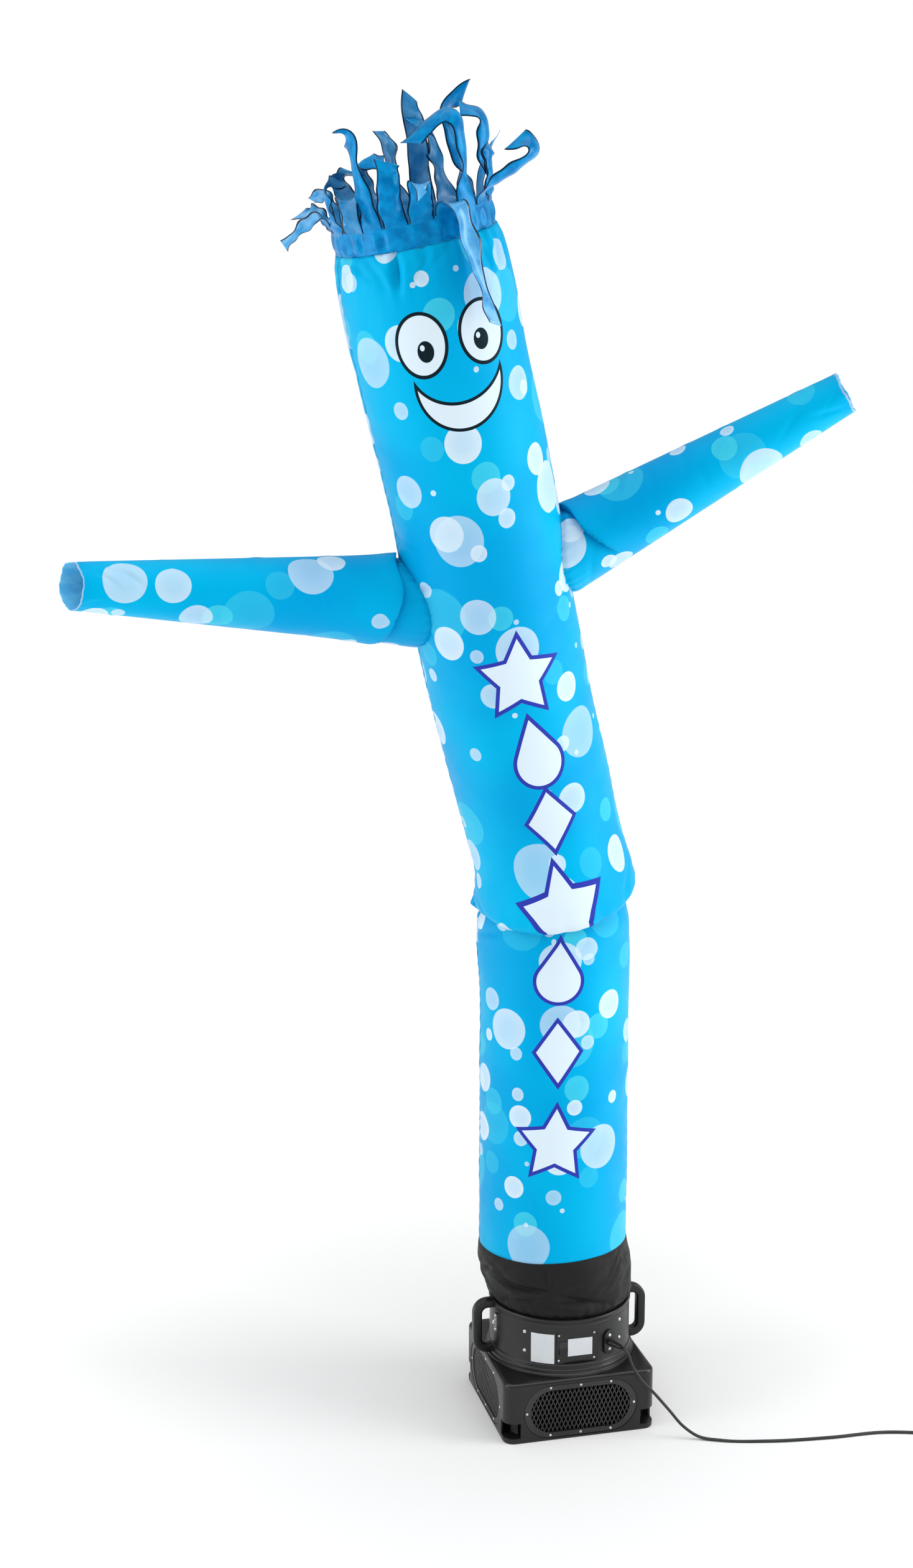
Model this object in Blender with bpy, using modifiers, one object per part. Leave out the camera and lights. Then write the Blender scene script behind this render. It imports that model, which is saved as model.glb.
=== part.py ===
"""Inflatable air dancer standing on its blower, about 2.7 m tall.

A square moulded blower stands on the floor, with intake grilles on its four sides and a
round outlet collar on top. A black sleeve is drawn over the outlet's neck. Above it a
printed nylon tube of two panels rises, folds forward once at the waist and leans to the
viewer's left. It carries two tapered arms and ends in a crown of loose strips.

Units are metres. The origin is the middle of the blower's underside, +Z is up and the
blower's switch panel faces -Y. The dancer's cloth is laid out in its own frame, which is
turned about +Z from the blower's.
"""
import math

import bmesh
import bpy
import numpy as np
from mathutils import Matrix

MM = 0.001
GAP = 0.3 * MM
WELD = 0.02 * MM
CLOTH = 1.5 * MM

# Blower housing
BASE_SIDE = 0.334
BASE_HEIGHT = 0.136
BASE_CORNER_RADIUS = 0.024
BASE_EDGE_RADIUS = 0.007
SCOOP_RADIUS = 0.026
SCOOP_INSET = 0.010
SCOOP_LOW = 0.012
SCOOP_HIGH = 0.046

# Intake grilles
GRILLE_WIDTH = 0.250
GRILLE_HEIGHT = 0.118
GRILLE_THICK = 2.5 * MM
GRILLE_CENTRE_Z = 0.0655
RECESS_DEPTH = 3.0 * MM
RECESS_CLEARANCE = 1.0 * MM
POCKET_WIDTH = 0.226
POCKET_HEIGHT = 0.102
POCKET_DEPTH = 0.030
MESH_PITCH_X = 18.8 * MM
MESH_PITCH_Z = 43.0 * MM
MESH_BAR = 3.0 * MM

# Outlet collar, a closed outline that runs down its outer side: radius, height in mm
COLLAR_RADIUS = 0.1525
COLLAR_STEPS = 32
COLLAR_OUTLINE = (
    (140.0, 300.0),
    (143.5, 300.0),
    (143.5, 250.0),
    (149.5, 250.0),
    (150.0, 260.5),
    (152.5, 262.0),
    (154.5, 259.5),
    (154.5, 255.5),
    (152.5, 253.0),
    (152.5, 161.0),
    (155.5, 159.0),
    (155.5, 151.0),
    (158.5, 149.0),
    (158.5, 136.3),
    (140.0, 136.3),
)

# Switch panel on the collar's front
PANEL_CENTRE_X = -0.0035
PANEL_CENTRE_Z = 0.1975
PANEL_WIDTH = 0.091
PANEL_HEIGHT = 0.070
PANEL_FLOOR_Y = -0.1440
PANEL_THICK = 2.4 * MM
PLATE_THICK = 0.8 * MM
BLANK_CENTRE_X = 0.0026
BLANK_WIDTH = 0.054
BLANK_HEIGHT = 0.0388
ROCKER_CENTRE_X = -0.0345
ROCKER_WIDTH = 18.0 * MM
ROCKER_HEIGHT = 27.6 * MM
ROCKER_CLEARANCE = 0.4 * MM
ROCKER_PIVOT_Y = -0.1452
ROCKER_TILT = math.radians(8.0)
ROCKER_POCKET_FLOOR_Y = -0.1414

# Rating plate on the collar, left blank
LABEL_AZIMUTH = math.radians(-30.0)
LABEL_WIDTH = 0.051
LABEL_HEIGHT = 0.066
LABEL_CENTRE_Z = 0.1955

# Eye bracket
EYE_AZIMUTH = math.radians(-80.0)
EYE_CENTRE_Z = 0.216
EYE_PLATE = (11.0 * MM, 40.0 * MM, 2.0 * MM)
EYE_LOOP_RADIUS = 6.0 * MM
EYE_WIRE_RADIUS = 1.6 * MM

# Handles on the collar's two sides
HANDLE_BAR_RADIUS = 0.0112
HANDLE_TOP_Z = 0.2515
HANDLE_FOOT_Z = 0.1490
HANDLE_REACH = 0.1860
HANDLE_BEND = 0.020
HANDLE_TOP_START = 0.1549
HANDLE_FOOT_START = 0.1592

# Mains lead
FLANGE_AZIMUTH = math.radians(27.0)
FLANGE_CENTRE_Z = 0.197
FLANGE_WIDTH = 0.030
FLANGE_HEIGHT = 0.055
FLANGE_THICK = 4.0 * MM
SLEEVE_LENGTH = 0.038
SLEEVE_ROOT_RADIUS = 8.0 * MM
SLEEVE_TIP_RADIUS = 4.6 * MM
CORD_RADIUS = 3.25 * MM
CORD_STEP = 3.0 * 2.0 * CORD_RADIUS
COIL_CENTRE = (0.850, -0.118)
COIL_MEAN_RADIUS = 0.036
COIL_HALF_SECTION = 6.5 * MM
COIL_STEPS = 24
PLUG_SLEEVE_START = 23.6 * MM
PLUG_BODY_START = 38.0 * MM
PLUG_BODY = (27.0 * MM, 32.0 * MM, 20.0 * MM)
PLUG_PIN_LENGTH = 17.0 * MM

# The dancer's frame is turned this much from the blower's, about +Z
DANCER_TURN = math.radians(-14.0)

# The lead's route in the dancer's frame, from the sleeve's tip to the coil: x, y, z
CORD_ROUTE = (
    (0.1278, -0.1471, 0.1970),
    (0.1370, -0.1560, 0.1920),
    (0.1480, -0.1610, 0.1640),
    (0.1670, -0.1620, 0.1330),
    (0.1970, -0.1640, 0.1000),
    (0.2280, -0.1670, 0.0640),
    (0.2600, -0.1700, 0.0270),
    (0.2900, -0.1750, 0.0080),
    (0.3390, -0.1840, 0.0035),
    (0.4380, -0.1870, 0.0035),
    (0.5740, -0.1710, 0.0035),
    (0.6970, -0.1480, 0.0035),
    (0.7640, -0.1510, 0.0035),
    (0.8100, -0.1600, 0.0035),
    (0.8500, -0.1641, 0.0035),
)

# Middle line of the inflated tube in the dancer's frame: height, sideways, depth, radius
SPINE = (
    (0.390, -0.017, 0.000, 0.1590),
    (0.750, -0.017, 0.000, 0.1590),
    (1.100, -0.020, 0.000, 0.1590),
    (1.150, -0.022, -0.004, 0.1590),
    (1.200, -0.030, -0.014, 0.1590),
    (1.350, -0.057, -0.045, 0.1597),
    (1.570, -0.110, -0.105, 0.1608),
    (1.800, -0.158, -0.170, 0.1618),
    (2.030, -0.201, -0.235, 0.1627),
    (2.250, -0.252, -0.287, 0.1635),
    (2.480, -0.300, -0.327, 0.1635),
)

# Rings of the tube: height on the middle line, and on the folded side how far the ring
# drops and is pushed out, and how much it narrows all round
TUBE_RINGS = (
    (0.3915, 0.000, 0.000, 0.00),
    (0.470, 0.000, 0.000, 0.00),
    (0.600, 0.000, 0.000, 0.00),
    (0.750, 0.000, 0.000, 0.00),
    (0.900, 0.000, 0.000, 0.00),
    (1.020, 0.000, 0.000, 0.00),
    (1.090, 0.000, 0.000, 0.00),
    (1.125, 0.006, -0.004, 0.00),
    (1.150, -0.008, -0.034, 0.00),
    (1.175, 0.028, 0.010, 0.00),
    (1.205, 0.022, 0.014, 0.00),
    (1.250, 0.010, 0.007, 0.00),
    (1.310, 0.000, 0.001, 0.00),
    (1.410, 0.000, 0.000, 0.00),
    (1.510, 0.000, 0.000, 0.00),
    (1.610, 0.000, 0.000, 0.00),
    (1.710, 0.000, 0.000, 0.00),
    (1.810, 0.000, 0.000, 0.00),
    (1.910, 0.000, 0.000, 0.00),
    (2.010, 0.000, 0.000, 0.00),
    (2.120, 0.000, 0.000, 0.00),
    (2.230, 0.000, 0.000, 0.00),
    (2.330, 0.000, 0.000, 0.00),
    (2.400, 0.000, 0.000, 0.00),
    (2.435, 0.000, 0.000, 0.012),
    (2.460, 0.000, 0.000, 0.035),
    (2.480, 0.000, 0.000, 0.080),
)
PANEL_COLUMNS = 16
SEAM_HALF_GAP = 0.4 * MM
FOLD_AZIMUTH = math.radians(8.0)
FOLD_SPREAD = 0.22
FRONT_TURN_LOW = math.radians(2.0)
FRONT_TURN_HIGH = math.radians(16.0)
FOOT_TILT = 0.05

# Sleeve between tube and outlet: height, radius, size of its soft folds
SKIRT_RINGS = (
    (0.3912, 0.1590, 0.0000),
    (0.372, 0.1622, 0.0010),
    (0.350, 0.1650, 0.0022),
    (0.326, 0.1638, 0.0030),
    (0.302, 0.1610, 0.0030),
    (0.286, 0.1592, 0.0018),
    (0.273, 0.1560, 0.0006),
    (0.2665, 0.1485, 0.0000),
    (0.256, 0.1456, 0.0000),
)
SKIRT_COLUMNS = 32
SKIRT_WAVES = 7

# Arms in the dancer's frame: root on the tube's wall, cuff, and the radius at each
ARMS = {
    "left_arm": {"root": (-0.315, -0.209, 1.797), "cuff": (-0.942, -0.413, 1.847),
                 "root_radius": 0.0900, "cuff_radius": 0.0450},
    "right_arm": {"root": (-0.018, -0.168, 1.891), "cuff": (0.526, -0.190, 2.198),
                  "root_radius": 0.0845, "cuff_radius": 0.0410},
}
ARM_COLUMNS = 20
ARM_INSIDE = 0.085
# Rings along an arm: distance from the root, and the depth of the crease there
ARM_RINGS = (
    (0.000, 0.000),
    (0.055, 0.004),
    (0.075, 0.012),
    (0.095, 0.000),
    (0.220, 0.000),
    (0.400, 0.000),
)

# Crown of strips: a band, cut into strips above it
BAND_RADIUS = 0.1504
BAND_HEIGHTS = (0.0, 0.020, 0.040)
STRIP_ROWS = 11
STRIP_CUP = 0.10
# Each strip leaves the band straight up. It leans towards its heading, curls on evenly,
# and folds once at a share of its length. Angles in degrees, lengths in mm, and the
# azimuths run from the viewer's side towards the viewer's right.
# azimuth, length, heading, lean, curl, fold, fold_at, tip_width, twist
STRIPS = (
    (-171, 150, -90, -2, 4, 30, 0.85, 20, 60),
    (-153, 150, 55, -20, 14, 100, 0.62, 26, -40),
    (-135, 120, -120, 14, 16, -110, 0.70, 24, 40),
    (-117, 100, -90, 8, 4, 96, 0.66, 22, 40),
    (-99, 80, -105, 30, 30, 30, 0.50, 22, 50),
    (-81, 124, -84, 20, 20, 84, 0.30, 20, 50),
    (-63, 112, -66, 0, 6, -96, 0.78, 22, 50),
    (-45, 150, 10, 6, 6, 156, 0.50, 32, 0),
    (-27, 195, -62, 0, 2, 92, 0.90, 28, 0),
    (-9, 118, 20, 4, 2, 20, 0.80, 30, 10),
    (9, 118, 16, 4, 6, 138, 0.66, 34, 6),
    (27, 266, 54, 14, 2, 160, 0.12, 18, 6),
    (45, 262, -84, -14, 22, 116, 0.66, 30, 55),
    (63, 178, 84, 62, 8, -140, 0.80, 30, 50),
    (81, 100, 81, 4, 4, 10, 0.60, 22, 20),
    (99, 115, 90, 2, 8, 40, 0.70, 22, 20),
    (117, 190, 90, 16, 0, -80, 0.76, 30, 45),
    (135, 222, 90, -8, 0, 80, 0.76, 28, 50),
    (153, 176, -50, 4, 6, 60, 0.80, 34, 40),
    (171, 205, 30, 4, 2, 30, 0.90, 24, 40),
)


def collection(name):
    """A collection of the scene by name, made when it is first asked for."""
    if name not in bpy.data.collections:
        bpy.context.scene.collection.children.link(bpy.data.collections.new(name))
    return bpy.data.collections[name]


def finish_material(name, colour, roughness, metallic=0.0):
    """A plain Principled material."""
    made = bpy.data.materials.new(name)
    made.use_nodes = True
    shader = made.node_tree.nodes["Principled BSDF"]
    shader.inputs["Base Color"].default_value = (*colour, 1.0)
    shader.inputs["Roughness"].default_value = roughness
    shader.inputs["Metallic"].default_value = metallic
    return made


def add_part(name, mesh, material, parent=None):
    """One named sub-part with its own material."""
    part = bpy.data.objects.new(name, mesh)
    collection("air_dancer").objects.link(part)
    mesh.materials.clear()
    mesh.materials.append(material)
    mesh.shade_smooth()
    mesh.set_sharp_from_angle(angle=math.radians(35.0))
    part.parent = parent
    return part


def add_cutter(name, mesh, parent=None):
    """A hidden guide that a Boolean modifier reads."""
    cutter = bpy.data.objects.new(name, mesh)
    collection("cutters").objects.link(cutter)
    cutter.hide_render = True
    cutter.display_type = "WIRE"
    cutter.parent = parent
    return cutter


def cut(part, cutter):
    """Takes the cutter's volume away from the part."""
    modifier = part.modifiers.new("cut_" + cutter.name, "BOOLEAN")
    modifier.operation = "DIFFERENCE"
    modifier.solver = "EXACT"
    modifier.object = cutter


def join(part, other):
    """Fuses another closed shape with the part."""
    modifier = part.modifiers.new("join_" + other.name, "BOOLEAN")
    modifier.operation = "UNION"
    modifier.solver = "EXACT"
    modifier.object = other


def box_mesh(name, size, centre=(0.0, 0.0, 0.0)):
    """A box from the cube primitive."""
    shape = bmesh.new()
    bmesh.ops.create_cube(shape, size=1.0)
    bmesh.ops.scale(shape, vec=size, verts=shape.verts)
    bmesh.ops.translate(shape, vec=centre, verts=shape.verts)
    mesh = bpy.data.meshes.new(name)
    shape.to_mesh(mesh)
    shape.free()
    return mesh


def mesh_from_curve(name, curve):
    """The welded mesh of a filled or bevelled curve."""
    holder = bpy.data.objects.new(name, curve)
    bpy.context.scene.collection.objects.link(holder)
    graph = bpy.context.evaluated_depsgraph_get()
    mesh = bpy.data.meshes.new_from_object(holder.evaluated_get(graph))
    bpy.data.objects.remove(holder)
    shape = bmesh.new()
    shape.from_mesh(mesh)
    bmesh.ops.remove_doubles(shape, verts=shape.verts, dist=WELD)
    shape.to_mesh(mesh)
    shape.free()
    mesh.name = name
    return mesh


def flat_mesh(name, outlines, thickness):
    """A flat plate in the XY plane: the first outline filled, the others cut out."""
    curve = bpy.data.curves.new(name, "CURVE")
    curve.dimensions = "2D"
    curve.fill_mode = "BOTH"
    curve.extrude = thickness / 2
    for outline in outlines:
        spline = curve.splines.new("POLY")
        spline.points.add(len(outline) - 1)
        for point, (x, y) in zip(spline.points, outline):
            point.co = (x, y, 0.0, 1.0)
        spline.use_cyclic_u = True
    return mesh_from_curve(name, curve)


def tube_mesh(name, points, radius, rounding=2):
    """A round bar or cord along a path, with filled ends."""
    curve = bpy.data.curves.new(name, "CURVE")
    curve.dimensions = "3D"
    curve.bevel_depth = radius
    curve.bevel_resolution = rounding
    curve.use_fill_caps = True
    spline = curve.splines.new("POLY")
    spline.points.add(len(points) - 1)
    for point, place in zip(spline.points, points):
        point.co = (*place, 1.0)
    return mesh_from_curve(name, curve)


def outline_mesh(name, outline):
    """A closed outline of radius and height in the XZ plane, for a Screw modifier."""
    shape = bmesh.new()
    corners = [shape.verts.new((radius, 0.0, height)) for radius, height in outline]
    for first, second in zip(corners, corners[1:] + corners[:1]):
        shape.edges.new((first, second))
    mesh = bpy.data.meshes.new(name)
    shape.to_mesh(mesh)
    shape.free()
    return mesh


def turn_outline(part, steps):
    """Turns a part's outline about Z into a closed ring."""
    screw = part.modifiers.new("turned", "SCREW")
    screw.steps = steps
    screw.render_steps = steps
    screw.use_merge_vertices = True
    screw.merge_threshold = WELD


def loft_mesh(name, rings, closed):
    """Faces between rows of points; rings is an array of rows, columns and X, Y, Z."""
    rows, columns = rings.shape[:2]
    index = np.arange(rows * columns).reshape(rows, columns)
    after = np.roll(index, -1, axis=1)
    last = columns if closed else columns - 1
    quads = np.stack([index[:-1], after[:-1], after[1:], index[1:]], axis=-1)[:, :last]
    mesh = bpy.data.meshes.new(name)
    mesh.from_pydata(rings.reshape(-1, 3).tolist(), [], quads.reshape(-1, 4).tolist())
    mesh.update()
    return mesh


def capped(mesh):
    """Closes the two open ends of a lofted tube."""
    shape = bmesh.new()
    shape.from_mesh(mesh)
    bmesh.ops.holes_fill(shape, edges=shape.edges, sides=0)
    bmesh.ops.recalc_face_normals(shape, faces=shape.faces)
    shape.to_mesh(mesh)
    shape.free()
    return mesh


def thicken(part, thickness=CLOTH):
    """Gives an open surface its cloth or sheet thickness, inwards."""
    solid = part.modifiers.new("thickness", "SOLIDIFY")
    solid.thickness = thickness
    solid.offset = -1.0


def stadium(width, height, steps=8):
    """Outline of a slot with round ends: two half circles joined by straight sides."""
    radius = height / 2
    reach = width / 2 - radius
    angles = np.linspace(-math.pi / 2, math.pi / 2, steps + 1)
    right = [(reach + radius * math.cos(a), radius * math.sin(a)) for a in angles]
    return right + [(-x, -y) for x, y in right]


def rectangle(width, height, x=0.0, y=0.0):
    """Outline of a rectangle about a centre."""
    return [(x + sx * width / 2, y + sy * height / 2)
            for sx, sy in ((-1, -1), (1, -1), (1, 1), (-1, 1))]


def on_collar(azimuth, radius, height):
    """Placement on the collar: X runs along the wall, Y points in and Z is up."""
    place = Matrix.Translation((radius * math.sin(azimuth), -radius * math.cos(azimuth), height))
    return place @ Matrix.Rotation(azimuth, 4, "Z")


def smoothstep(value):
    """Rises from 0 to 1 with no kink at either end."""
    value = np.clip(value, 0.0, 1.0)
    return value * value * (3.0 - 2.0 * value)


def hermite(knots, values, at):
    """Smooth curve through the knots, with the slopes of their neighbours."""
    knots = np.asarray(knots, float)
    values = np.asarray(values, float)
    slopes = np.gradient(values, knots)
    low = np.clip(np.searchsorted(knots, at, side="right") - 1, 0, len(knots) - 2)
    span = knots[low + 1] - knots[low]
    t = (at - knots[low]) / span
    rise = 3 * t**2 - 2 * t**3
    return (values[low] * (1 - rise) + values[low + 1] * rise
            + slopes[low] * span * (t**3 - 2 * t**2 + t) + slopes[low + 1] * span * (t**3 - t**2))


def make_base(plastic):
    """Square housing with round upright edges, corner scoops and four intake pockets."""
    shape = bmesh.new()
    bmesh.ops.create_cube(shape, size=1.0)
    bmesh.ops.scale(shape, vec=(BASE_SIDE, BASE_SIDE, BASE_HEIGHT), verts=shape.verts)
    bmesh.ops.translate(shape, vec=(0.0, 0.0, BASE_HEIGHT / 2), verts=shape.verts)
    upright = [edge for edge in shape.edges
               if abs(edge.verts[0].co.z - edge.verts[1].co.z) > BASE_HEIGHT / 2]
    bmesh.ops.bevel(shape, geom=upright, offset=BASE_CORNER_RADIUS, segments=5,
                    profile=0.5, affect="EDGES")
    top = [edge for edge in shape.edges
           if min(vert.co.z for vert in edge.verts) > BASE_HEIGHT - MM]
    bmesh.ops.bevel(shape, geom=top, offset=BASE_EDGE_RADIUS, segments=2,
                    profile=0.5, affect="EDGES")
    mesh = bpy.data.meshes.new("blower_base")
    shape.to_mesh(mesh)
    shape.free()
    base = add_part("blower_base", mesh, plastic)

    recess = stadium(GRILLE_WIDTH + 2 * RECESS_CLEARANCE, GRILLE_HEIGHT + 2 * RECESS_CLEARANCE)
    pocket = stadium(POCKET_WIDTH, POCKET_HEIGHT)
    recess_mesh = flat_mesh("recess", [recess], 2 * RECESS_DEPTH)
    pocket_mesh = flat_mesh("pocket", [pocket], 2 * POCKET_DEPTH)
    corner = BASE_SIDE / 2 - SCOOP_INSET
    for side in range(4):
        quarter = Matrix.Rotation(side * math.pi / 2, 4, "Z")
        face = Matrix.Translation((0.0, -BASE_SIDE / 2, GRILLE_CENTRE_Z))
        upright_plane = Matrix.Rotation(math.pi / 2, 4, "X")
        for cutter_mesh in (recess_mesh, pocket_mesh):
            cutter = add_cutter(f"{cutter_mesh.name}_{side}", cutter_mesh)
            cutter.matrix_world = quarter @ face @ upright_plane
            cut(base, cutter)
        scoop_shape = bmesh.new()
        bmesh.ops.create_cone(scoop_shape, cap_ends=True, segments=16, radius1=SCOOP_RADIUS,
                              radius2=SCOOP_RADIUS, depth=SCOOP_HIGH - SCOOP_LOW)
        scoop_mesh = bpy.data.meshes.new("scoop")
        scoop_shape.to_mesh(scoop_mesh)
        scoop_shape.free()
        scoop = add_cutter(f"scoop_{side}", scoop_mesh)
        middle = Matrix.Translation((corner, corner, (SCOOP_LOW + SCOOP_HIGH) / 2))
        scoop.matrix_world = quarter @ middle
        cut(base, scoop)
    return base


def diamond_holes():
    """Diamonds of the expanded mesh, in staggered rows, that lie wholly inside the oval."""
    half_x = (MESH_PITCH_X - MESH_BAR) / 2
    half_z = (MESH_PITCH_Z - MESH_BAR) / 2
    radius = POCKET_HEIGHT / 2
    reach = POCKET_WIDTH / 2 - radius
    holes = []
    for row in range(-2, 3):
        z = row * MESH_PITCH_Z / 2
        for column in range(-7, 8):
            x = (column + 0.5 * (row % 2)) * MESH_PITCH_X
            corners = [(x + half_x, z), (x, z + half_z), (x - half_x, z), (x, z - half_z)]
            ends = [math.hypot(max(abs(cx) - reach, 0.0), cz) for cx, cz in corners]
            if max(ends) < radius:
                holes.append(corners)
    return holes


def make_grilles(steel):
    """Four oval grilles, one in each intake recess."""
    outlines = [stadium(GRILLE_WIDTH, GRILLE_HEIGHT)] + diamond_holes()
    seat = BASE_SIDE / 2 - RECESS_DEPTH + GAP + GRILLE_THICK / 2
    for side, name in enumerate(("front", "right", "back", "left")):
        grille = add_part("grille_" + name, flat_mesh("grille", outlines, GRILLE_THICK), steel)
        turn = Matrix.Rotation(side * math.pi / 2, 4, "Z")
        stand = Matrix.Translation((0.0, -seat, GRILLE_CENTRE_Z))
        grille.matrix_world = turn @ stand @ Matrix.Rotation(math.pi / 2, 4, "X")


def make_collar(plastic):
    """Round outlet with stepped foot, rim, groove and inner neck, recessed for the switch."""
    outline = [(radius * MM, height * MM) for radius, height in COLLAR_OUTLINE]
    collar = add_part("outlet_collar", outline_mesh("outlet_collar", outline), plastic)
    turn_outline(collar, COLLAR_STEPS)
    depth = 0.020
    recess = box_mesh("panel_recess", (PANEL_WIDTH, depth, PANEL_HEIGHT),
                      (PANEL_CENTRE_X, PANEL_FLOOR_Y - depth / 2, PANEL_CENTRE_Z))
    cut(collar, add_cutter("panel_recess", recess))
    pocket = box_mesh("rocker_pocket",
                      (ROCKER_WIDTH + 2 * ROCKER_CLEARANCE, depth,
                       ROCKER_HEIGHT + 4 * ROCKER_CLEARANCE),
                      (ROCKER_CENTRE_X, ROCKER_POCKET_FLOOR_Y - depth / 2, PANEL_CENTRE_Z))
    cut(collar, add_cutter("rocker_pocket", pocket))


def make_switch(plastic, white):
    """Switch plate in the recess, a blank plate on it and the rocker in its window."""
    window = rectangle(ROCKER_WIDTH + 2 * ROCKER_CLEARANCE, ROCKER_HEIGHT + 4 * ROCKER_CLEARANCE,
                       ROCKER_CENTRE_X - PANEL_CENTRE_X)
    outline = rectangle(PANEL_WIDTH - 2 * GAP, PANEL_HEIGHT - 2 * GAP)
    plate = add_part("switch_plate", flat_mesh("switch_plate", [outline, window], PANEL_THICK),
                     plastic)
    plate_y = PANEL_FLOOR_Y - GAP - PANEL_THICK / 2
    upright = Matrix.Rotation(math.pi / 2, 4, "X")
    plate.matrix_world = Matrix.Translation((PANEL_CENTRE_X, plate_y, PANEL_CENTRE_Z)) @ upright

    blank = add_part("blank_plate",
                     box_mesh("blank_plate", (BLANK_WIDTH, PLATE_THICK, BLANK_HEIGHT)), white)
    blank_y = plate_y - PANEL_THICK / 2 - GAP - PLATE_THICK / 2
    blank.location = (BLANK_CENTRE_X, blank_y, PANEL_CENTRE_Z)

    half = ROCKER_HEIGHT / 2
    side = [(-4.2 * MM, half), (-2.2 * MM, 0.0), (-4.2 * MM, -half),
            (1.0 * MM, -0.75 * half), (2.4 * MM, 0.0), (1.0 * MM, 0.75 * half)]
    rocker = add_part("rocker", flat_mesh("rocker", [side], ROCKER_WIDTH), plastic)
    pivot = Matrix.Translation((ROCKER_CENTRE_X, ROCKER_PIVOT_Y, PANEL_CENTRE_Z))
    stand = Matrix(((0, 0, 1, 0), (1, 0, 0, 0), (0, 1, 0, 0), (0, 0, 0, 1)))
    rocker.matrix_world = pivot @ Matrix.Rotation(-ROCKER_TILT, 4, "X") @ stand


def make_label(white):
    """Blank rating plate, bent to the collar."""
    columns = 6
    spread = LABEL_WIDTH / COLLAR_RADIUS
    angles = LABEL_AZIMUTH + np.linspace(-spread / 2, spread / 2, columns + 1)
    radius = COLLAR_RADIUS + GAP + PLATE_THICK
    heights = np.array([-LABEL_HEIGHT / 2, LABEL_HEIGHT / 2]) + LABEL_CENTRE_Z
    rings = np.array([[(radius * math.sin(a), -radius * math.cos(a), z) for a in angles]
                      for z in heights])
    label = add_part("label_plate", loft_mesh("label_plate", rings, False), white)
    thicken(label, PLATE_THICK)


def make_eye_bracket(steel):
    """Small steel plate with a standing wire eye."""
    width, height, thick = EYE_PLATE
    bracket = add_part("eye_bracket", box_mesh("eye_bracket", (width, thick, height)), steel)
    radius = COLLAR_RADIUS + GAP + thick / 2
    place = on_collar(EYE_AZIMUTH, radius, EYE_CENTRE_Z)
    bracket.matrix_world = place
    angles = np.linspace(-math.pi / 2, math.pi / 2, 9)
    loop = [(0.0, -EYE_LOOP_RADIUS * math.cos(a), EYE_LOOP_RADIUS * math.sin(a)) for a in angles]
    eye = add_cutter("eye_loop", tube_mesh("eye_loop", loop, EYE_WIRE_RADIUS))
    eye.matrix_world = place
    join(bracket, eye)


def make_handles(plastic):
    """Two D-shaped grab bars, from the collar's rim to its foot."""
    bend = np.linspace(0.0, math.pi / 2, 5)
    centre_x = HANDLE_REACH - HANDLE_BEND
    top = [(centre_x + HANDLE_BEND * math.sin(a), 0.0,
            HANDLE_TOP_Z - HANDLE_BEND * (1 - math.cos(a))) for a in bend]
    foot = [(centre_x + HANDLE_BEND * math.cos(a), 0.0,
             HANDLE_FOOT_Z + HANDLE_BEND * (1 - math.sin(a))) for a in bend]
    path = ([(HANDLE_TOP_START, 0.0, HANDLE_TOP_Z)] + top + foot
            + [(HANDLE_FOOT_START, 0.0, HANDLE_FOOT_Z)])
    for name, turn in (("handle_right", 0.0), ("handle_left", math.pi)):
        handle = add_part(name, tube_mesh("handle", path, HANDLE_BAR_RADIUS, 3), plastic)
        handle.rotation_euler = (0.0, 0.0, turn)


def make_flange(plastic):
    """Screwed oval flange with the tapered sleeve that the lead comes out of."""
    outline = [(y, x) for x, y in stadium(FLANGE_HEIGHT, FLANGE_WIDTH)][::-1]
    flange = add_part("cord_flange", flat_mesh("cord_flange", [outline], FLANGE_THICK), plastic)
    radius = COLLAR_RADIUS + GAP + FLANGE_THICK / 2
    upright = Matrix.Rotation(math.pi / 2, 4, "X")
    place = on_collar(FLANGE_AZIMUTH, radius, FLANGE_CENTRE_Z) @ upright
    flange.matrix_world = place
    cone = bmesh.new()
    bmesh.ops.create_cone(cone, cap_ends=True, segments=12, radius1=SLEEVE_ROOT_RADIUS,
                          radius2=SLEEVE_TIP_RADIUS, depth=SLEEVE_LENGTH)
    cone_mesh = bpy.data.meshes.new("cord_sleeve")
    cone.to_mesh(cone_mesh)
    cone.free()
    sleeve = add_cutter("cord_sleeve", cone_mesh)
    sleeve.matrix_world = place @ Matrix.Translation((0.0, 0.0, SLEEVE_LENGTH / 2))
    join(flange, sleeve)


def route_points(route, step):
    """Even points on a smooth curve through the route's own points."""
    route = np.asarray(route, float)
    travel = np.r_[0.0, np.cumsum(np.linalg.norm(np.diff(route, axis=0), axis=1))]
    fine = np.linspace(0.0, travel[-1], 600)
    curve = np.stack([hermite(travel, route[:, axis], fine) for axis in range(3)], axis=1)
    length = np.r_[0.0, np.cumsum(np.linalg.norm(np.diff(curve, axis=0), axis=1))]
    even = np.linspace(0.0, length[-1], int(round(length[-1] / step)) + 1)
    return np.stack([np.interp(even, length, curve[:, axis]) for axis in range(3)], axis=1)


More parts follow.
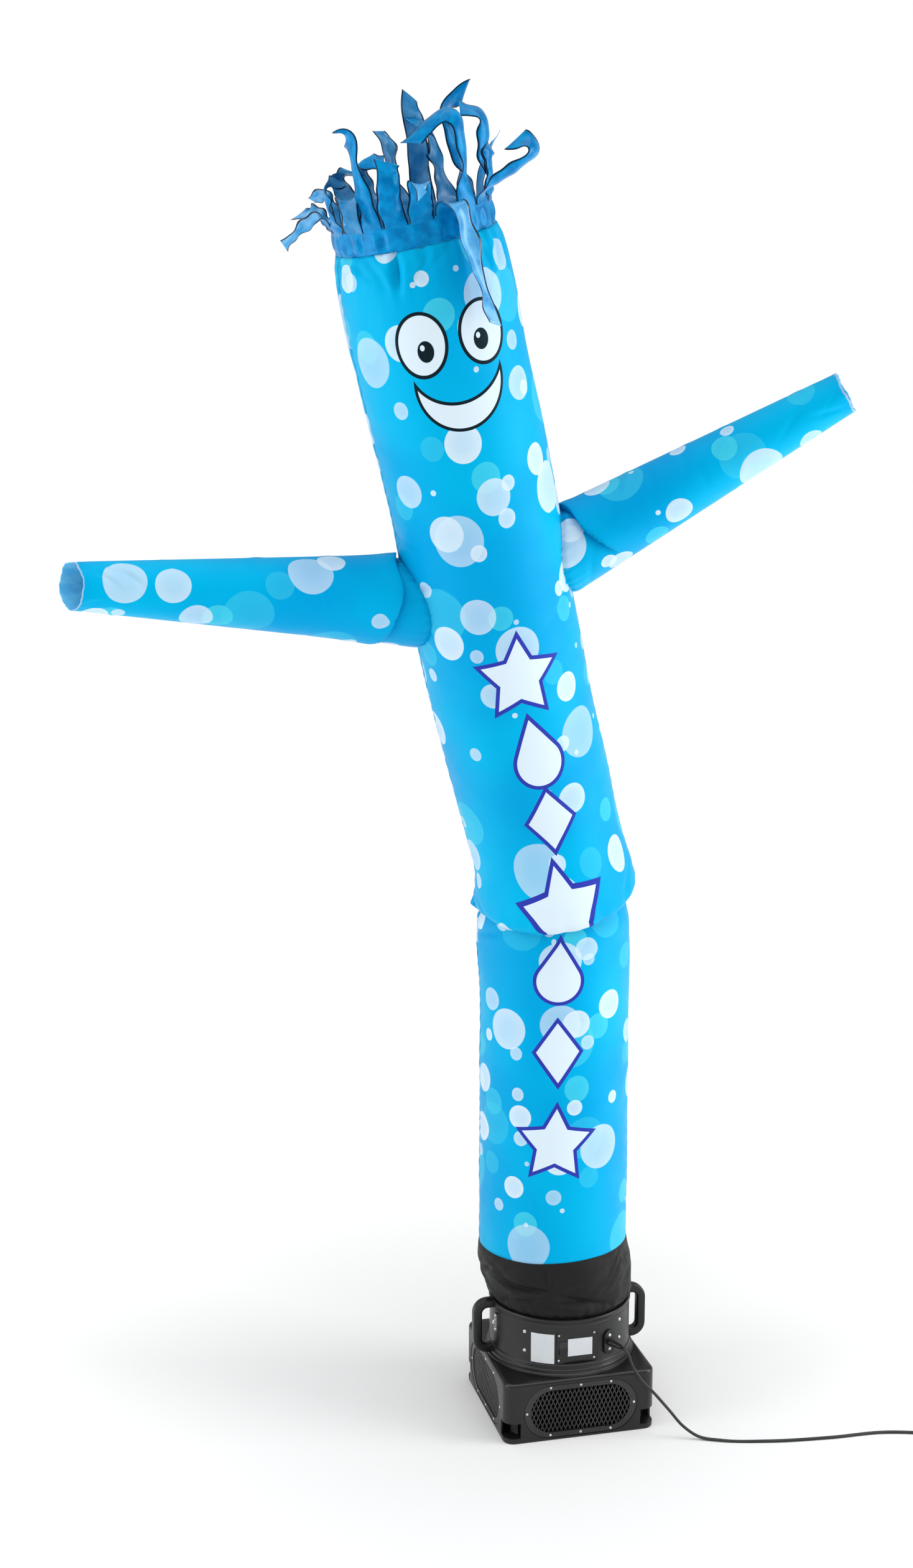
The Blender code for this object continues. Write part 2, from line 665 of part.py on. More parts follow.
def make_cord(rubber, frame):
    """The lead's free stretch, its stored coil and its plug, lying on the floor."""
    lead = route_points(CORD_ROUTE, CORD_STEP)
    add_part("cord_lead", tube_mesh("cord_lead", lead.tolist(), CORD_RADIUS), rubber, frame)

    inner = COIL_MEAN_RADIUS - COIL_HALF_SECTION
    outer = COIL_MEAN_RADIUS + COIL_HALF_SECTION
    high = 2 * COIL_HALF_SECTION
    round_off = 2.0 * MM
    section = [(inner, high - round_off), (inner + round_off, high), (outer - round_off, high),
               (outer, high - round_off), (outer, round_off), (outer - round_off, 0.0),
               (inner + round_off, 0.0), (inner, round_off)]
    coil = add_part("cord_coil", outline_mesh("cord_coil", section), rubber, frame)
    coil.location = (*COIL_CENTRE, 0.0)
    turn_outline(coil, COIL_STEPS)

    width, length, height = PLUG_BODY
    plug = add_part("cord_plug", box_mesh("cord_plug", PLUG_BODY,
                                          (0.0, PLUG_BODY_START + length / 2, 0.0)), rubber, frame)
    line = outer - CORD_RADIUS
    plug.location = (COIL_CENTRE[0] + line, COIL_CENTRE[1], height / 2)
    overlap = 2.0 * MM
    neck_length = PLUG_BODY_START + overlap - PLUG_SLEEVE_START
    neck = bmesh.new()
    bmesh.ops.create_cone(neck, cap_ends=True, segments=10, radius1=3.6 * MM, radius2=6.0 * MM,
                          depth=neck_length)
    bmesh.ops.rotate(neck, cent=(0.0, 0.0, 0.0), verts=neck.verts,
                     matrix=Matrix.Rotation(-math.pi / 2, 3, "X"))
    bmesh.ops.translate(neck, vec=(0.0, PLUG_SLEEVE_START + neck_length / 2, 0.0),
                        verts=neck.verts)
    neck_mesh = bpy.data.meshes.new("plug_neck")
    neck.to_mesh(neck_mesh)
    neck.free()
    extras = [add_cutter("plug_neck", neck_mesh)]
    face = PLUG_BODY_START + length
    pins = (("plug_blade_left", (1.6 * MM, 6.4 * MM), (-6.4 * MM, 0.0)),
            ("plug_blade_right", (1.6 * MM, 6.4 * MM), (6.4 * MM, 0.0)),
            ("plug_earth", (4.6 * MM, 4.6 * MM), (0.0, -6.0 * MM)))
    for name, (wide, tall), (x, z) in pins:
        pin = box_mesh(name, (wide, PLUG_PIN_LENGTH + overlap, tall),
                       (x, face + (PLUG_PIN_LENGTH - overlap) / 2, z))
        extras.append(add_cutter(name, pin))
    for extra in extras:
        extra.parent = frame
        extra.location = plug.location
        join(plug, extra)


def spine_at(height):
    """Centre, radius and cross directions of the tube at heights on its middle line."""
    table = np.array(SPINE)
    knots = table[:, 0]
    height = np.asarray(height, float)
    probe = 0.5 * MM

    def centre(at):
        return np.stack([hermite(knots, table[:, 1], at), hermite(knots, table[:, 2], at), at], -1)

    along = centre(height + probe) - centre(height - probe)
    along /= np.linalg.norm(along, axis=-1, keepdims=True)
    right = np.array([1.0, 0.0, 0.0]) - along[..., :1] * along
    right /= np.linalg.norm(right, axis=-1, keepdims=True)
    back = np.cross(along, right)
    return centre(height), hermite(knots, table[:, 3], height), right, back, along


def front_azimuth(height):
    """Azimuth of the print's middle, which turns from the foot to the head."""
    low, high = SPINE[0][0], SPINE[-1][0]
    share = (np.asarray(height, float) - low) / (high - low)
    return FRONT_TURN_LOW + (FRONT_TURN_HIGH - FRONT_TURN_LOW) * share


def tube_rings(from_angle, to_angle, columns, swell=0.0):
    """Rings of the folded tube between two angles from the print's middle."""
    table = np.array(TUBE_RINGS)
    centre, radius, right, back, along = spine_at(table[:, 0])
    local = np.linspace(from_angle, to_angle, columns)
    azimuth = front_azimuth(table[:, 0])[:, None] + local[None, :]
    fold = (np.cos(azimuth - FOLD_AZIMUTH) + FOLD_SPREAD) / (1 + FOLD_SPREAD)
    fold = np.clip(fold, 0.0, 1.0) ** 0.7
    out = radius[:, None] * (1 - table[:, 3:4]) + fold * table[:, 2:3] + swell
    rise = -fold * table[:, 1:2]
    rise[0] += FOOT_TILT * radius[0] * np.sin(azimuth[0])
    return (centre[:, None] + out[..., None] * (np.sin(azimuth)[..., None] * right[:, None]
                                                - np.cos(azimuth)[..., None] * back[:, None])
            + rise[..., None] * along[:, None])


def arm_frame(arm):
    """Root, unit direction and two cross directions of an arm."""
    root = np.array(arm["root"])
    reach = np.array(arm["cuff"]) - root
    length = np.linalg.norm(reach)
    along = reach / length
    side = np.cross(along, (0.0, 0.0, 1.0))
    side /= np.linalg.norm(side)
    return root, length, along, side, np.cross(along, side)


def arm_rings(arm, inset=0.0, beyond=0.0):
    """Rings of a tapered arm from inside the tube to the cuff, with a crease at the shoulder."""
    root, length, along, side, across = arm_frame(arm)
    table = np.array([(-ARM_INSIDE, 0.0)] + list(ARM_RINGS) + [(length + beyond, 0.0)])
    share = np.clip(table[:, 0] / length, 0.0, 1.0)
    radius = arm["root_radius"] + (arm["cuff_radius"] - arm["root_radius"]) * share - inset
    angle = np.arange(ARM_COLUMNS) * 2 * math.pi / ARM_COLUMNS
    front = math.radians(90.0 - math.copysign(60.0, along[0]))
    crease = (0.5 + 0.5 * np.cos(angle - front)) ** 2
    out = radius[:, None] - table[:, 1:2] * crease
    return (root + table[:, :1, None] * along
            + out[..., None] * (np.cos(angle)[None, :, None] * side
                                + np.sin(angle)[None, :, None] * across))


def make_tube(prints, frame):
    """Front and back panels, seamed at the sides, and the two arms set into the seams."""
    envelope = tube_rings(0.0, 2 * math.pi * (1 - 1 / 32), 32, swell=GAP)
    body = add_cutter("tube_envelope", capped(loft_mesh("tube_envelope", envelope, True)), frame)
    cores = []
    for name, arm in ARMS.items():
        part = add_part(name, loft_mesh(name, arm_rings(arm), True), prints[name], frame)
        thicken(part)
        cut(part, body)
        core = capped(loft_mesh(name + "_core", arm_rings(arm, CLOTH, 0.02), True))
        cores.append(add_cutter(name + "_core", core, frame))
    quarter = math.pi / 2
    seam = SEAM_HALF_GAP / SPINE[0][3]
    for name, middle in (("front_panel", 0.0), ("back_panel", math.pi)):
        rings = tube_rings(middle - quarter + seam, middle + quarter - seam, PANEL_COLUMNS + 1)
        panel = add_part(name, loft_mesh(name, rings, False), prints[name], frame)
        thicken(panel)
        for core in cores:
            cut(panel, core)


def make_skirt(nylon, frame):
    """Plain sleeve, wider than the outlet, drawn in and tucked behind the collar's rim."""
    table = np.array(SKIRT_RINGS)
    azimuth = np.arange(SKIRT_COLUMNS) * 2 * math.pi / SKIRT_COLUMNS
    waves = (np.sin(SKIRT_WAVES * azimuth[None, :] + 9.0 * table[:, :1] / 0.05)
             + 0.6 * np.sin(3 * azimuth[None, :] - 5.0 * table[:, :1] / 0.05))
    out = table[:, 1:2] + table[:, 2:3] * waves
    low, high = table[-1, 0], table[0, 0]
    share = smoothstep((table[:, 0] - low) / (high - low))
    start = np.array(SPINE[0][1:3])
    tilt = FOOT_TILT * SPINE[0][3] * share
    rings = np.stack([start[0] * share[:, None] + out * np.sin(azimuth),
                      start[1] * share[:, None] - out * np.cos(azimuth),
                      table[:, :1] + tilt[:, None] * np.sin(azimuth)], axis=-1)
    skirt = add_part("skirt", loft_mesh("skirt", rings[::-1], True), nylon, frame)
    thicken(skirt)


def strip_rows(strip, root, frame_axes):
    """Three points across each row of a strip, above its root on the band."""
    azimuth, length, heading, lean, curl, fold, fold_at, tip_width, twist = strip
    right, back, along = frame_axes
    azimuth, heading = math.radians(azimuth), math.radians(heading)
    share = np.linspace(0.0, 1.0, STRIP_ROWS)
    middle = (share[1:] + share[:-1]) / 2

    def bend(at):
        turned = (lean * smoothstep(at / 0.25) + curl * at
                  + fold * smoothstep((at - fold_at) / 0.22 + 0.5))
        return np.radians(turned)[:, None]

    towards = math.sin(heading) * right - math.cos(heading) * back
    step = np.cos(bend(middle)) * along + np.sin(bend(middle)) * towards
    path = root[1] + np.r_[np.zeros((1, 3)), np.cumsum(step, axis=0)] * length * MM / (STRIP_ROWS - 1)
    direction = np.cos(bend(share)) * along + np.sin(bend(share)) * towards
    around = math.cos(azimuth) * right + math.sin(azimuth) * back
    normal = np.cross(towards, along)
    normal *= 1.0 if normal @ around > 0 else -1.0
    settle = smoothstep(share / 0.4)[:, None]
    across = around * (1 - settle) + normal * settle
    across -= (across * direction).sum(1, keepdims=True) * direction
    across /= np.linalg.norm(across, axis=1, keepdims=True)
    face = np.cross(across, direction)
    spin = np.radians(twist) * share[:, None]
    across, face = (across * np.cos(spin) + face * np.sin(spin),
                    face * np.cos(spin) - across * np.sin(spin))
    root_width = np.linalg.norm(root[2] - root[0])
    half = (root_width * 0.90 + (tip_width * MM - root_width * 0.90) * share**0.8)[:, None] / 2
    cup = STRIP_CUP * half * np.sin(math.pi * share)[:, None]
    rows = np.stack([path - half * across, path + cup * face, path + half * across], axis=1)
    return rows[1:]


def make_crown(nylon, frame):
    """Band sewn to the head and cut into strips, which stand and hang apart."""
    head = SPINE[-1][0]
    centre, _, right, back, along = spine_at(np.array([head]))
    centre, right, back, along = centre[0], right[0], back[0], along[0]
    columns = 2 * len(STRIPS)
    first = math.radians(STRIPS[0][0]) - math.pi / len(STRIPS)
    azimuth = first + np.arange(columns) * 2 * math.pi / columns
    circle = BAND_RADIUS * (np.sin(azimuth)[:, None] * right - np.cos(azimuth)[:, None] * back)
    heights = np.array(BAND_HEIGHTS) + GAP
    band = centre + circle + heights[:, None, None] * along
    points = band.reshape(-1, 3).tolist()
    index = np.arange(len(points)).reshape(len(heights), columns)
    after = np.roll(index, -1, axis=1)
    quads = np.stack([index[:-1], after[:-1], after[1:], index[1:]], -1).reshape(-1, 4).tolist()
    for number, strip in enumerate(STRIPS):
        lower = [index[-1, (2 * number + step) % columns] for step in range(3)]
        rows = strip_rows(strip, np.array([points[corner] for corner in lower]),
                          (right, back, along))
        for row in rows:
            upper = list(range(len(points), len(points) + 3))
            points.extend(row.tolist())
            quads.extend([lower[k], lower[k + 1], upper[k + 1], upper[k]] for k in range(2))
            lower = upper
    mesh = bpy.data.meshes.new("hair_crown")
    mesh.from_pydata(points, [], quads)
    mesh.update()
    crown = add_part("hair_crown", mesh, nylon, frame)
    thicken(crown)


def main():
    """Builds every sub-part."""
    for old in list(bpy.data.objects):
        bpy.data.objects.remove(old, do_unlink=True)
    collection("air_dancer")
    collection("cutters")
    plastic = finish_material("black_plastic", (0.012, 0.012, 0.013), 0.42)
    grille_steel = finish_material("black_steel", (0.015, 0.015, 0.016), 0.45, 0.3)
    white = finish_material("white_plate", (0.80, 0.82, 0.84), 0.40)
    zinc = finish_material("zinc", (0.75, 0.74, 0.70), 0.30, 1.0)
    rubber = finish_material("black_rubber", (0.012, 0.012, 0.012), 0.55)
    black_nylon = finish_material("black_nylon", (0.012, 0.012, 0.013), 0.80)
    blue_nylon = finish_material("blue_nylon", (0.0, 0.24, 0.60), 0.45)
    cyan = (0.0, 0.35, 0.72)
    prints = {name: finish_material(name + "_nylon", cyan, 0.5)
              for name in ("front_panel", "back_panel", "left_arm", "right_arm")}

    make_base(plastic)
    make_grilles(grille_steel)
    make_collar(plastic)
    make_switch(plastic, white)
    make_label(white)
    make_eye_bracket(zinc)
    make_handles(plastic)
    make_flange(plastic)

    frame = bpy.data.objects.new("dancer_frame", None)
    collection("air_dancer").objects.link(frame)
    frame.rotation_euler = (0.0, 0.0, DANCER_TURN)
    make_cord(rubber, frame)
    make_tube(prints, frame)
    make_skirt(black_nylon, frame)
    make_crown(blue_nylon, frame)


main()
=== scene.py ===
"""Inflatable air dancer on its blower: the finish of every surface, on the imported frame."""
import math

import bmesh
import bpy
import numpy as np
from mathutils import Matrix, Vector


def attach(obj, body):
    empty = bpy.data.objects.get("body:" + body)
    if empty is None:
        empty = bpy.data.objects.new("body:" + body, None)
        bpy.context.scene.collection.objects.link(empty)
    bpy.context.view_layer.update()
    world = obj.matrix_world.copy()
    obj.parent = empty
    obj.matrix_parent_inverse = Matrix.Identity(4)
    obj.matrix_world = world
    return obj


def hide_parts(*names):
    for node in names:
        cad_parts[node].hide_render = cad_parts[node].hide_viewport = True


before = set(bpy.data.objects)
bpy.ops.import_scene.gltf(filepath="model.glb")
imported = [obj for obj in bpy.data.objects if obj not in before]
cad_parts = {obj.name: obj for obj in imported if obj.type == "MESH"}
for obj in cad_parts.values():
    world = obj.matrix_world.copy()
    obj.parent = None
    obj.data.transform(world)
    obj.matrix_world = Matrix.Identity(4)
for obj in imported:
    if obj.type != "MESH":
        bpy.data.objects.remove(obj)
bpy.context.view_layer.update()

# Studio. A pale floor, a pale backdrop and big soft lights at both sides, as a catalogue
# photograph has. The camera stands at head height, square to the dancer's own front, which
# is turned from the blower's.
DANCER_TURN = math.radians(-14.0)
CAMERA_PLACE = (-0.225, -4.456, 2.273)
CAMERA_DROP = math.radians(11.21)
FLOOR_HALF = 30.0
# The floor's colour is darkened near the blower as painted shade, which pales from the first to the
# second of these distances from the blower
FLOOR_PAINTED_SHADE = (0.3, 2.4)
# The backdrop is white to the camera and lights the object more weakly
BACKDROP_LIGHT = 0.42
CEILING_POWER = 1.97
CEILING_SPREAD = math.radians(70.0)
CEILING_LEAN = math.radians(14.0)
dancer = Matrix.Rotation(DANCER_TURN, 4, "Z")
turn = np.array(dancer)[:3, :3]
scene = bpy.context.scene


def srgb(red, green, blue):
    """Linear colour of a screen colour: each share c is ((c + 0.055) / 1.055) to the power 2.4."""
    shares = np.array([red, green, blue]) / 255.0
    linear = np.where(shares > 0.04045, ((shares + 0.055) / 1.055) ** 2.4, shares / 12.92)
    return (*linear.tolist(), 1.0)


def put(tree, kind, *inputs, **settings):
    """A shader node of a kind, named without its ShaderNode prefix. Its inputs are values or
    other nodes' outputs, in order."""
    made = tree.nodes.new("ShaderNode" + kind)
    for name, value in settings.items():
        setattr(made, name, value)
    for socket, value in zip(made.inputs, inputs):
        if isinstance(value, bpy.types.NodeSocket):
            tree.links.new(value, socket)
        elif value is not None:
            socket.default_value = value
    return made


def sums(tree, operation, *inputs):
    """The result of one sum on numbers."""
    return put(tree, "Math", *inputs, operation=operation).outputs[0]


def ramp(tree, value, low, high, start=0.0, end=1.0):
    """A value carried smoothly from one range to another."""
    made = put(tree, "MapRange", value, low, high, start, end,
               interpolation_type="SMOOTHSTEP")
    return made.outputs[0]


def mix(tree, share, first, second):
    """The first colour, changed for the second by a share."""
    made = tree.nodes.new("ShaderNodeMix")
    made.data_type = "RGBA"
    for place, value in ((0, share), (6, first), (7, second)):
        if isinstance(value, bpy.types.NodeSocket):
            tree.links.new(value, made.inputs[place])
        else:
            made.inputs[place].default_value = value
    return made.outputs[2]


def finish(name, colour, roughness, **plain):
    """A material with one Principled shader; plain holds the sockets that are the same all over."""
    made = bpy.data.materials.new(name)
    made.use_nodes = True
    shader = made.node_tree.nodes["Principled BSDF"]
    shader.inputs["Base Color"].default_value = colour
    shader.inputs["Roughness"].default_value = roughness
    for socket, value in plain.items():
        shader.inputs[socket.replace("_", " ")].default_value = value
    return made, made.node_tree, shader


def grid_mesh(name, points, around=False, uv=None, across=False):
    """Quads between the rows and columns of a grid of points, closed around its columns
    or across its rows where asked; uv holds the same grid in metres on the flat."""
    rows, columns = points.shape[:2]
    index = np.arange(rows * columns).reshape(rows, columns)
    right = np.roll(index, -1, axis=1)
    below = np.roll(index, -1, axis=0)
    corner = np.roll(right, -1, axis=0)
    quads = np.stack([index, right, corner, below], axis=-1)
    quads = quads[:rows if across else rows - 1, :columns if around else columns - 1]
    mesh = bpy.data.meshes.new(name)
    mesh.from_pydata(points.reshape(-1, 3).tolist(), [], quads.reshape(-1, 4).tolist())
    if uv is not None:
        layer = mesh.uv_layers.new(name="flat")
        corners = np.empty(len(mesh.loops), np.int32)
        mesh.loops.foreach_get("vertex_index", corners)
        layer.data.foreach_set("uv", uv.reshape(-1, 2)[corners].astype(np.float32).ravel())
    mesh.shade_smooth()
    return mesh


camera_data = bpy.data.cameras.new("camera")
camera_data.sensor_fit = "VERTICAL"
camera_data.sensor_height = 36.0
camera_data.lens = 50.0
camera = bpy.data.objects.new("camera", camera_data)
camera.matrix_world = (dancer @ Matrix.Translation(CAMERA_PLACE)
                       @ Matrix.Rotation(math.pi / 2 - CAMERA_DROP, 4, "X"))
scene.collection.objects.link(camera)
scene.camera = camera

floor_points = np.array([[(x, y, 0.0) for x in (-FLOOR_HALF, FLOOR_HALF)]
                         for y in (-FLOOR_HALF, FLOOR_HALF)])
floor_material, tree, shader = finish("studio_floor", srgb(250, 250, 250), 0.85,
                                      Specular_IOR_Level=0.1)
place = put(tree, "TexCoord").outputs["Object"]
away = put(tree, "VectorMath", place, operation="LENGTH").outputs["Value"]
# Painted shade: the floor is greyer near the blower, where its shadow falls, and white further out
tree.links.new(mix(tree, ramp(tree, away, *FLOOR_PAINTED_SHADE), srgb(218, 218, 217), srgb(254, 254, 254)),
               shader.inputs["Base Color"])
floor = bpy.data.objects.new("floor", grid_mesh("floor", floor_points))
floor.data.materials.append(floor_material)
scene.collection.objects.link(floor)

world = bpy.data.worlds.new("studio")
world.use_nodes = True
backdrop = world.node_tree.nodes["Background"]
backdrop.inputs["Color"].default_value = (1.0, 1.0, 1.0, 1.0)
seen = put(world.node_tree, "LightPath").outputs["Is Camera Ray"]
strength = sums(world.node_tree, "MULTIPLY_ADD", seen, 1.0 - BACKDROP_LIGHT, BACKDROP_LIGHT)
world.node_tree.links.new(strength, backdrop.inputs["Strength"])
scene.world = world
scene.view_settings.view_transform = "Standard"

# Name, power in watts, size across and up in metres, place in the dancer's frame
LIGHTS = (
    ("light_left", 50.0, (1.4, 3.4), (-3.0, -1.2, 1.8)),
    ("light_right", 84.0, (1.4, 3.4), (2.9, -0.6, 1.8)),
    ("light_front", 12.0, (3.0, 1.2), (-0.9, -4.6, 3.9)),
)
AIM = Vector((0.0, 0.0, 1.4))
for name, power, (wide, tall), place in LIGHTS:
    light_data = bpy.data.lights.new(name, "AREA")
    light_data.energy = power
    light_data.shape = "RECTANGLE"
    light_data.size = wide
    light_data.size_y = tall
    light = bpy.data.objects.new(name, light_data)
    light.matrix_world = (dancer @ Matrix.Translation(place)
                          @ (AIM - Vector(place)).to_track_quat("-Z", "Y").to_matrix().to_4x4())
    scene.collection.objects.link(light)
ceiling_data = bpy.data.lights.new("ceiling", "SUN")
ceiling_data.energy = CEILING_POWER
ceiling_data.angle = CEILING_SPREAD
ceiling = bpy.data.objects.new("ceiling", ceiling_data)
ceiling.matrix_world = dancer @ Matrix.Rotation(CEILING_LEAN, 4, "X")
scene.collection.objects.link(ceiling)

# Blower housing. One square box moulded in black plastic, with round edges and corners, an
# oval intake sunk in each side and a scooped foot with a flange at each corner. The texture
# is the fine orange peel of rotational moulding, a little worn in soft patches.
HOUSING_HALF = 0.167
HOUSING_CORNER = 0.024
HOUSING_HEIGHT = 0.136
FOOT_EDGE = 0.003
TOP_EDGE = 0.008
# The top's round hole, which the outlet collar covers
TOP_HOLE_RADIUS = 0.145
EDGE_SOFTNESS = 0.0016
INTAKE_Z = 0.0655
# Name, width, height and depth of each cut from an intake's face
INTAKE_CUTS = (("recess", 0.252, 0.120, 0.003), ("pocket", 0.226, 0.102, 0.019))
# Y outside the blower, where the tools that cut its faces begin
CUT_START = -0.180
SCOOP_RADIUS = 0.026
SCOOP_CENTRE = 0.157
SCOOP_LOW, SCOOP_HIGH = 0.012, 0.046


def group(name, inputs, outputs):
    """An empty shader node group, with its inputs and outputs as (name, type, value) rows."""
    tree = bpy.data.node_groups.new(name, "ShaderNodeTree")
    for label, kind, value in inputs:
        socket = tree.interface.new_socket(name=label, in_out="INPUT",
                                           socket_type="NodeSocket" + kind)
        if value is not None:
            socket.default_value = value
    for label, kind in outputs:
        tree.interface.new_socket(name=label, in_out="OUTPUT", socket_type="NodeSocket" + kind)
    entry = tree.nodes.new("NodeGroupInput")
    leave = tree.nodes.new("NodeGroupOutput")
    return tree, entry.outputs, leave.inputs


def use(tree, made_group, **inputs):
    """A group placed in a tree, with its inputs by name."""
    node = tree.nodes.new("ShaderNodeGroup")
    node.node_tree = made_group
    for label, value in inputs.items():
        socket = node.inputs[label.replace("_", " ")]
        if isinstance(value, bpy.types.NodeSocket):
            tree.links.new(value, socket)
        else:
            socket.default_value = value
    return node.outputs


def piece(name, mesh, material, body):
    """A finished piece in the scene, riding on a body."""
    made = bpy.data.objects.new(name, mesh)
    scene.collection.objects.link(made)
    if not mesh.materials:
        mesh.materials.append(material)
    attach(made, body)
    return made


grain, entry, leave = group(
    "moulded_grain",
    [("Scale", "Float", 900.0), ("Dull", "Float", 0.5), ("Bright", "Float", 0.38)],
    [("Roughness", "Float"), ("Height", "Float"), ("Patch", "Float")])
place = put(grain, "TexCoord").outputs["Object"]
peel = put(grain, "TexNoise", place, None, entry["Scale"], 2.0).outputs[0]
patch = put(grain, "TexNoise", place, None, 9.0, 4.0).outputs[0]
patch_share = ramp(grain, patch, 0.35, 0.65)
spread = sums(grain, "SUBTRACT", entry["Bright"], entry["Dull"])
grain.links.new(sums(grain, "MULTIPLY_ADD", patch_share, spread, entry["Dull"]),
                leave["Roughness"])
grain.links.new(peel, leave["Height"])
grain.links.new(patch_share, leave["Patch"])


def relief(tree, shader, height, strength, distance):
    """Raises a shader's surface by a height value."""
    bump = put(tree, "Bump", strength, distance)
    tree.links.new(height, bump.inputs["Height"])
    tree.links.new(bump.outputs[0], shader.inputs["Normal"])


def moulded(name, colour, scuffed, scale, dull, bright, depth, **plain):
    """Moulded plastic: two near shades in soft patches, grain in its bump and gloss."""
    material, tree, shader = finish(name, colour, dull, **plain)
    made = use(tree, grain, Scale=scale, Dull=dull, Bright=bright)
    tree.links.new(mix(tree, made["Patch"], colour, scuffed), shader.inputs["Base Color"])
    tree.links.new(made["Roughness"], shader.inputs["Roughness"])
    relief(tree, shader, made["Height"], 1.0, depth)
    return material


def rounded_square(half, corner, steps):
    """Outline of a square with round corners: four quarter circles, joined by their ends,
    with extra points along each straight side."""
    quarter = np.linspace(0.0, math.pi / 2, steps)
    arc = half - corner + corner * np.stack([np.cos(quarter), np.sin(quarter)], axis=-1)
    straight = np.linspace(arc[-1], arc[-1] * (-1, 1), 14)[1:-1]
    side = np.concatenate([arc, straight])
    sides = [side]
    for _ in range(3):
        side = np.stack([-side[:, 1], side[:, 0]], axis=-1)
        sides.append(side)
    return np.concatenate(sides)


def boolean(made, tool):
    """Cuts the tool's volume from a piece for good."""
    scene.collection.objects.link(tool)
    modifier = made.modifiers.new("cut", "BOOLEAN")
    modifier.object = tool
    modifier.operation = "DIFFERENCE"
    modifier.solver = "EXACT"
    settle(made)
    bpy.data.objects.remove(tool)


def settle(made):
    """Turns a piece's modifiers into its own mesh."""
    graph = bpy.context.evaluated_depsgraph_get()
    mesh = bpy.data.meshes.new_from_object(made.evaluated_get(graph))
    made.modifiers.clear()
    old = made.data
    made.data = mesh
    mesh.name = old.name
    bpy.data.meshes.remove(old)


def stadium(width, height, steps):
    """Closed outline of a slot with round ends: two half circles about the ends' centres."""
    radius = height / 2
    half = np.linspace(-math.pi / 2, math.pi / 2, steps)
    right = np.stack([width / 2 - radius + radius * np.cos(half), radius * np.sin(half)], axis=-1)
    return np.concatenate([right, -right])


def prism(name, outline, low, high):
    """A closed outline in X and Z carried straight back along Y, with both ends filled."""
    rows = [np.stack([outline[:, 0], np.full(len(outline), y), outline[:, 1]], axis=-1)
            for y in (low, high)]
    count = len(outline)
    walls = [(k + count, (k + 1) % count + count, (k + 1) % count, k) for k in range(count)]
    mesh = bpy.data.meshes.new(name)
    mesh.from_pydata(np.concatenate(rows).tolist(), [],
                     walls + [tuple(range(count)), tuple(range(count, 2 * count))[::-1]])
    return mesh


def soften(made, width, segments=2, degrees=40.0):
    """Rounds a piece's sharp edges and keeps its broad faces flat in shade."""
    bevel = made.modifiers.new("edges", "BEVEL")
    bevel.width = width
    bevel.segments = segments
    bevel.limit_method = "ANGLE"
    bevel.angle_limit = math.radians(degrees)
    bevel.harden_normals = False
    settle(made)
    made.data.shade_smooth()
    made.data.set_sharp_from_angle(angle=math.radians(38.0))


black_plastic = moulded("black_plastic", srgb(11, 11, 12), srgb(18, 18, 19), scale=700.0,
                        dull=0.38, bright=0.28, depth=0.00025, Specular_IOR_Level=0.42)
square = rounded_square(HOUSING_HALF, HOUSING_CORNER, 9)
turned = np.linspace(0.0, math.pi / 2, 5)
# How far each ring of the housing lies in from the square, and its height
housing_rings = np.array(
    [(0.030, 0.0)] + [(FOOT_EDGE * (1 - math.sin(a)), FOOT_EDGE * (1 - math.cos(a)))
                      for a in turned]
    + [(0.0, z) for z in np.linspace(0.02, 0.11, 4)]
    + [(TOP_EDGE * (1 - math.cos(a)), HOUSING_HEIGHT - TOP_EDGE * (1 - math.sin(a)))
       for a in turned] + [(0.016, HOUSING_HEIGHT)])
rings = []
for inset, height in housing_rings:
    outline = rounded_square(HOUSING_HALF - inset, max(HOUSING_CORNER - inset, 0.003), 9)
    rings.append(np.column_stack([outline, np.full(len(outline), height)]))
rings = np.array(rings)
angle = np.arctan2(square[:, 1], square[:, 0])
top_hole = np.stack([TOP_HOLE_RADIUS * np.cos(angle), TOP_HOLE_RADIUS * np.sin(angle),
                     np.full(len(angle), HOUSING_HEIGHT)], axis=-1)
floor_hole = top_hole * (1, 1, 0)
rings = np.concatenate([floor_hole[None], rings, top_hole[None]])
housing_mesh = grid_mesh("housing", rings, around=True, across=True)
housing = piece("housing", housing_mesh, black_plastic, "dancer")
scoop_angle = np.linspace(0.0, 2 * math.pi, 28, endpoint=False)
scoop = SCOOP_RADIUS * np.stack([np.cos(scoop_angle), np.sin(scoop_angle)], axis=-1)
# A prism runs along Y; this stands it upright, which also turns its faces inside out
upright = Matrix(((1, 0, 0, 0), (0, 0, 1, 0), (0, 1, 0, 0), (0, 0, 0, 1)))
for number in range(4):
    quarter_turn = Matrix.Rotation(number * math.pi / 2, 4, "Z")
    for label, wide, tall, deep in INTAKE_CUTS:
        outline = stadium(wide, tall, 20) + (0.0, INTAKE_Z)
        tool = bpy.data.objects.new(label, prism(label, outline, CUT_START, -HOUSING_HALF + deep))
        tool.data.transform(quarter_turn)
        boolean(housing, tool)
    tool = bpy.data.objects.new("scoop", prism("scoop", scoop, SCOOP_LOW, SCOOP_HIGH))
    tool.data.transform(Matrix.Translation((SCOOP_CENTRE, SCOOP_CENTRE, 0.0)) @ upright)
    tool.data.flip_normals()
    tool.data.transform(quarter_turn)
    boolean(housing, tool)
soften(housing, EDGE_SOFTNESS)
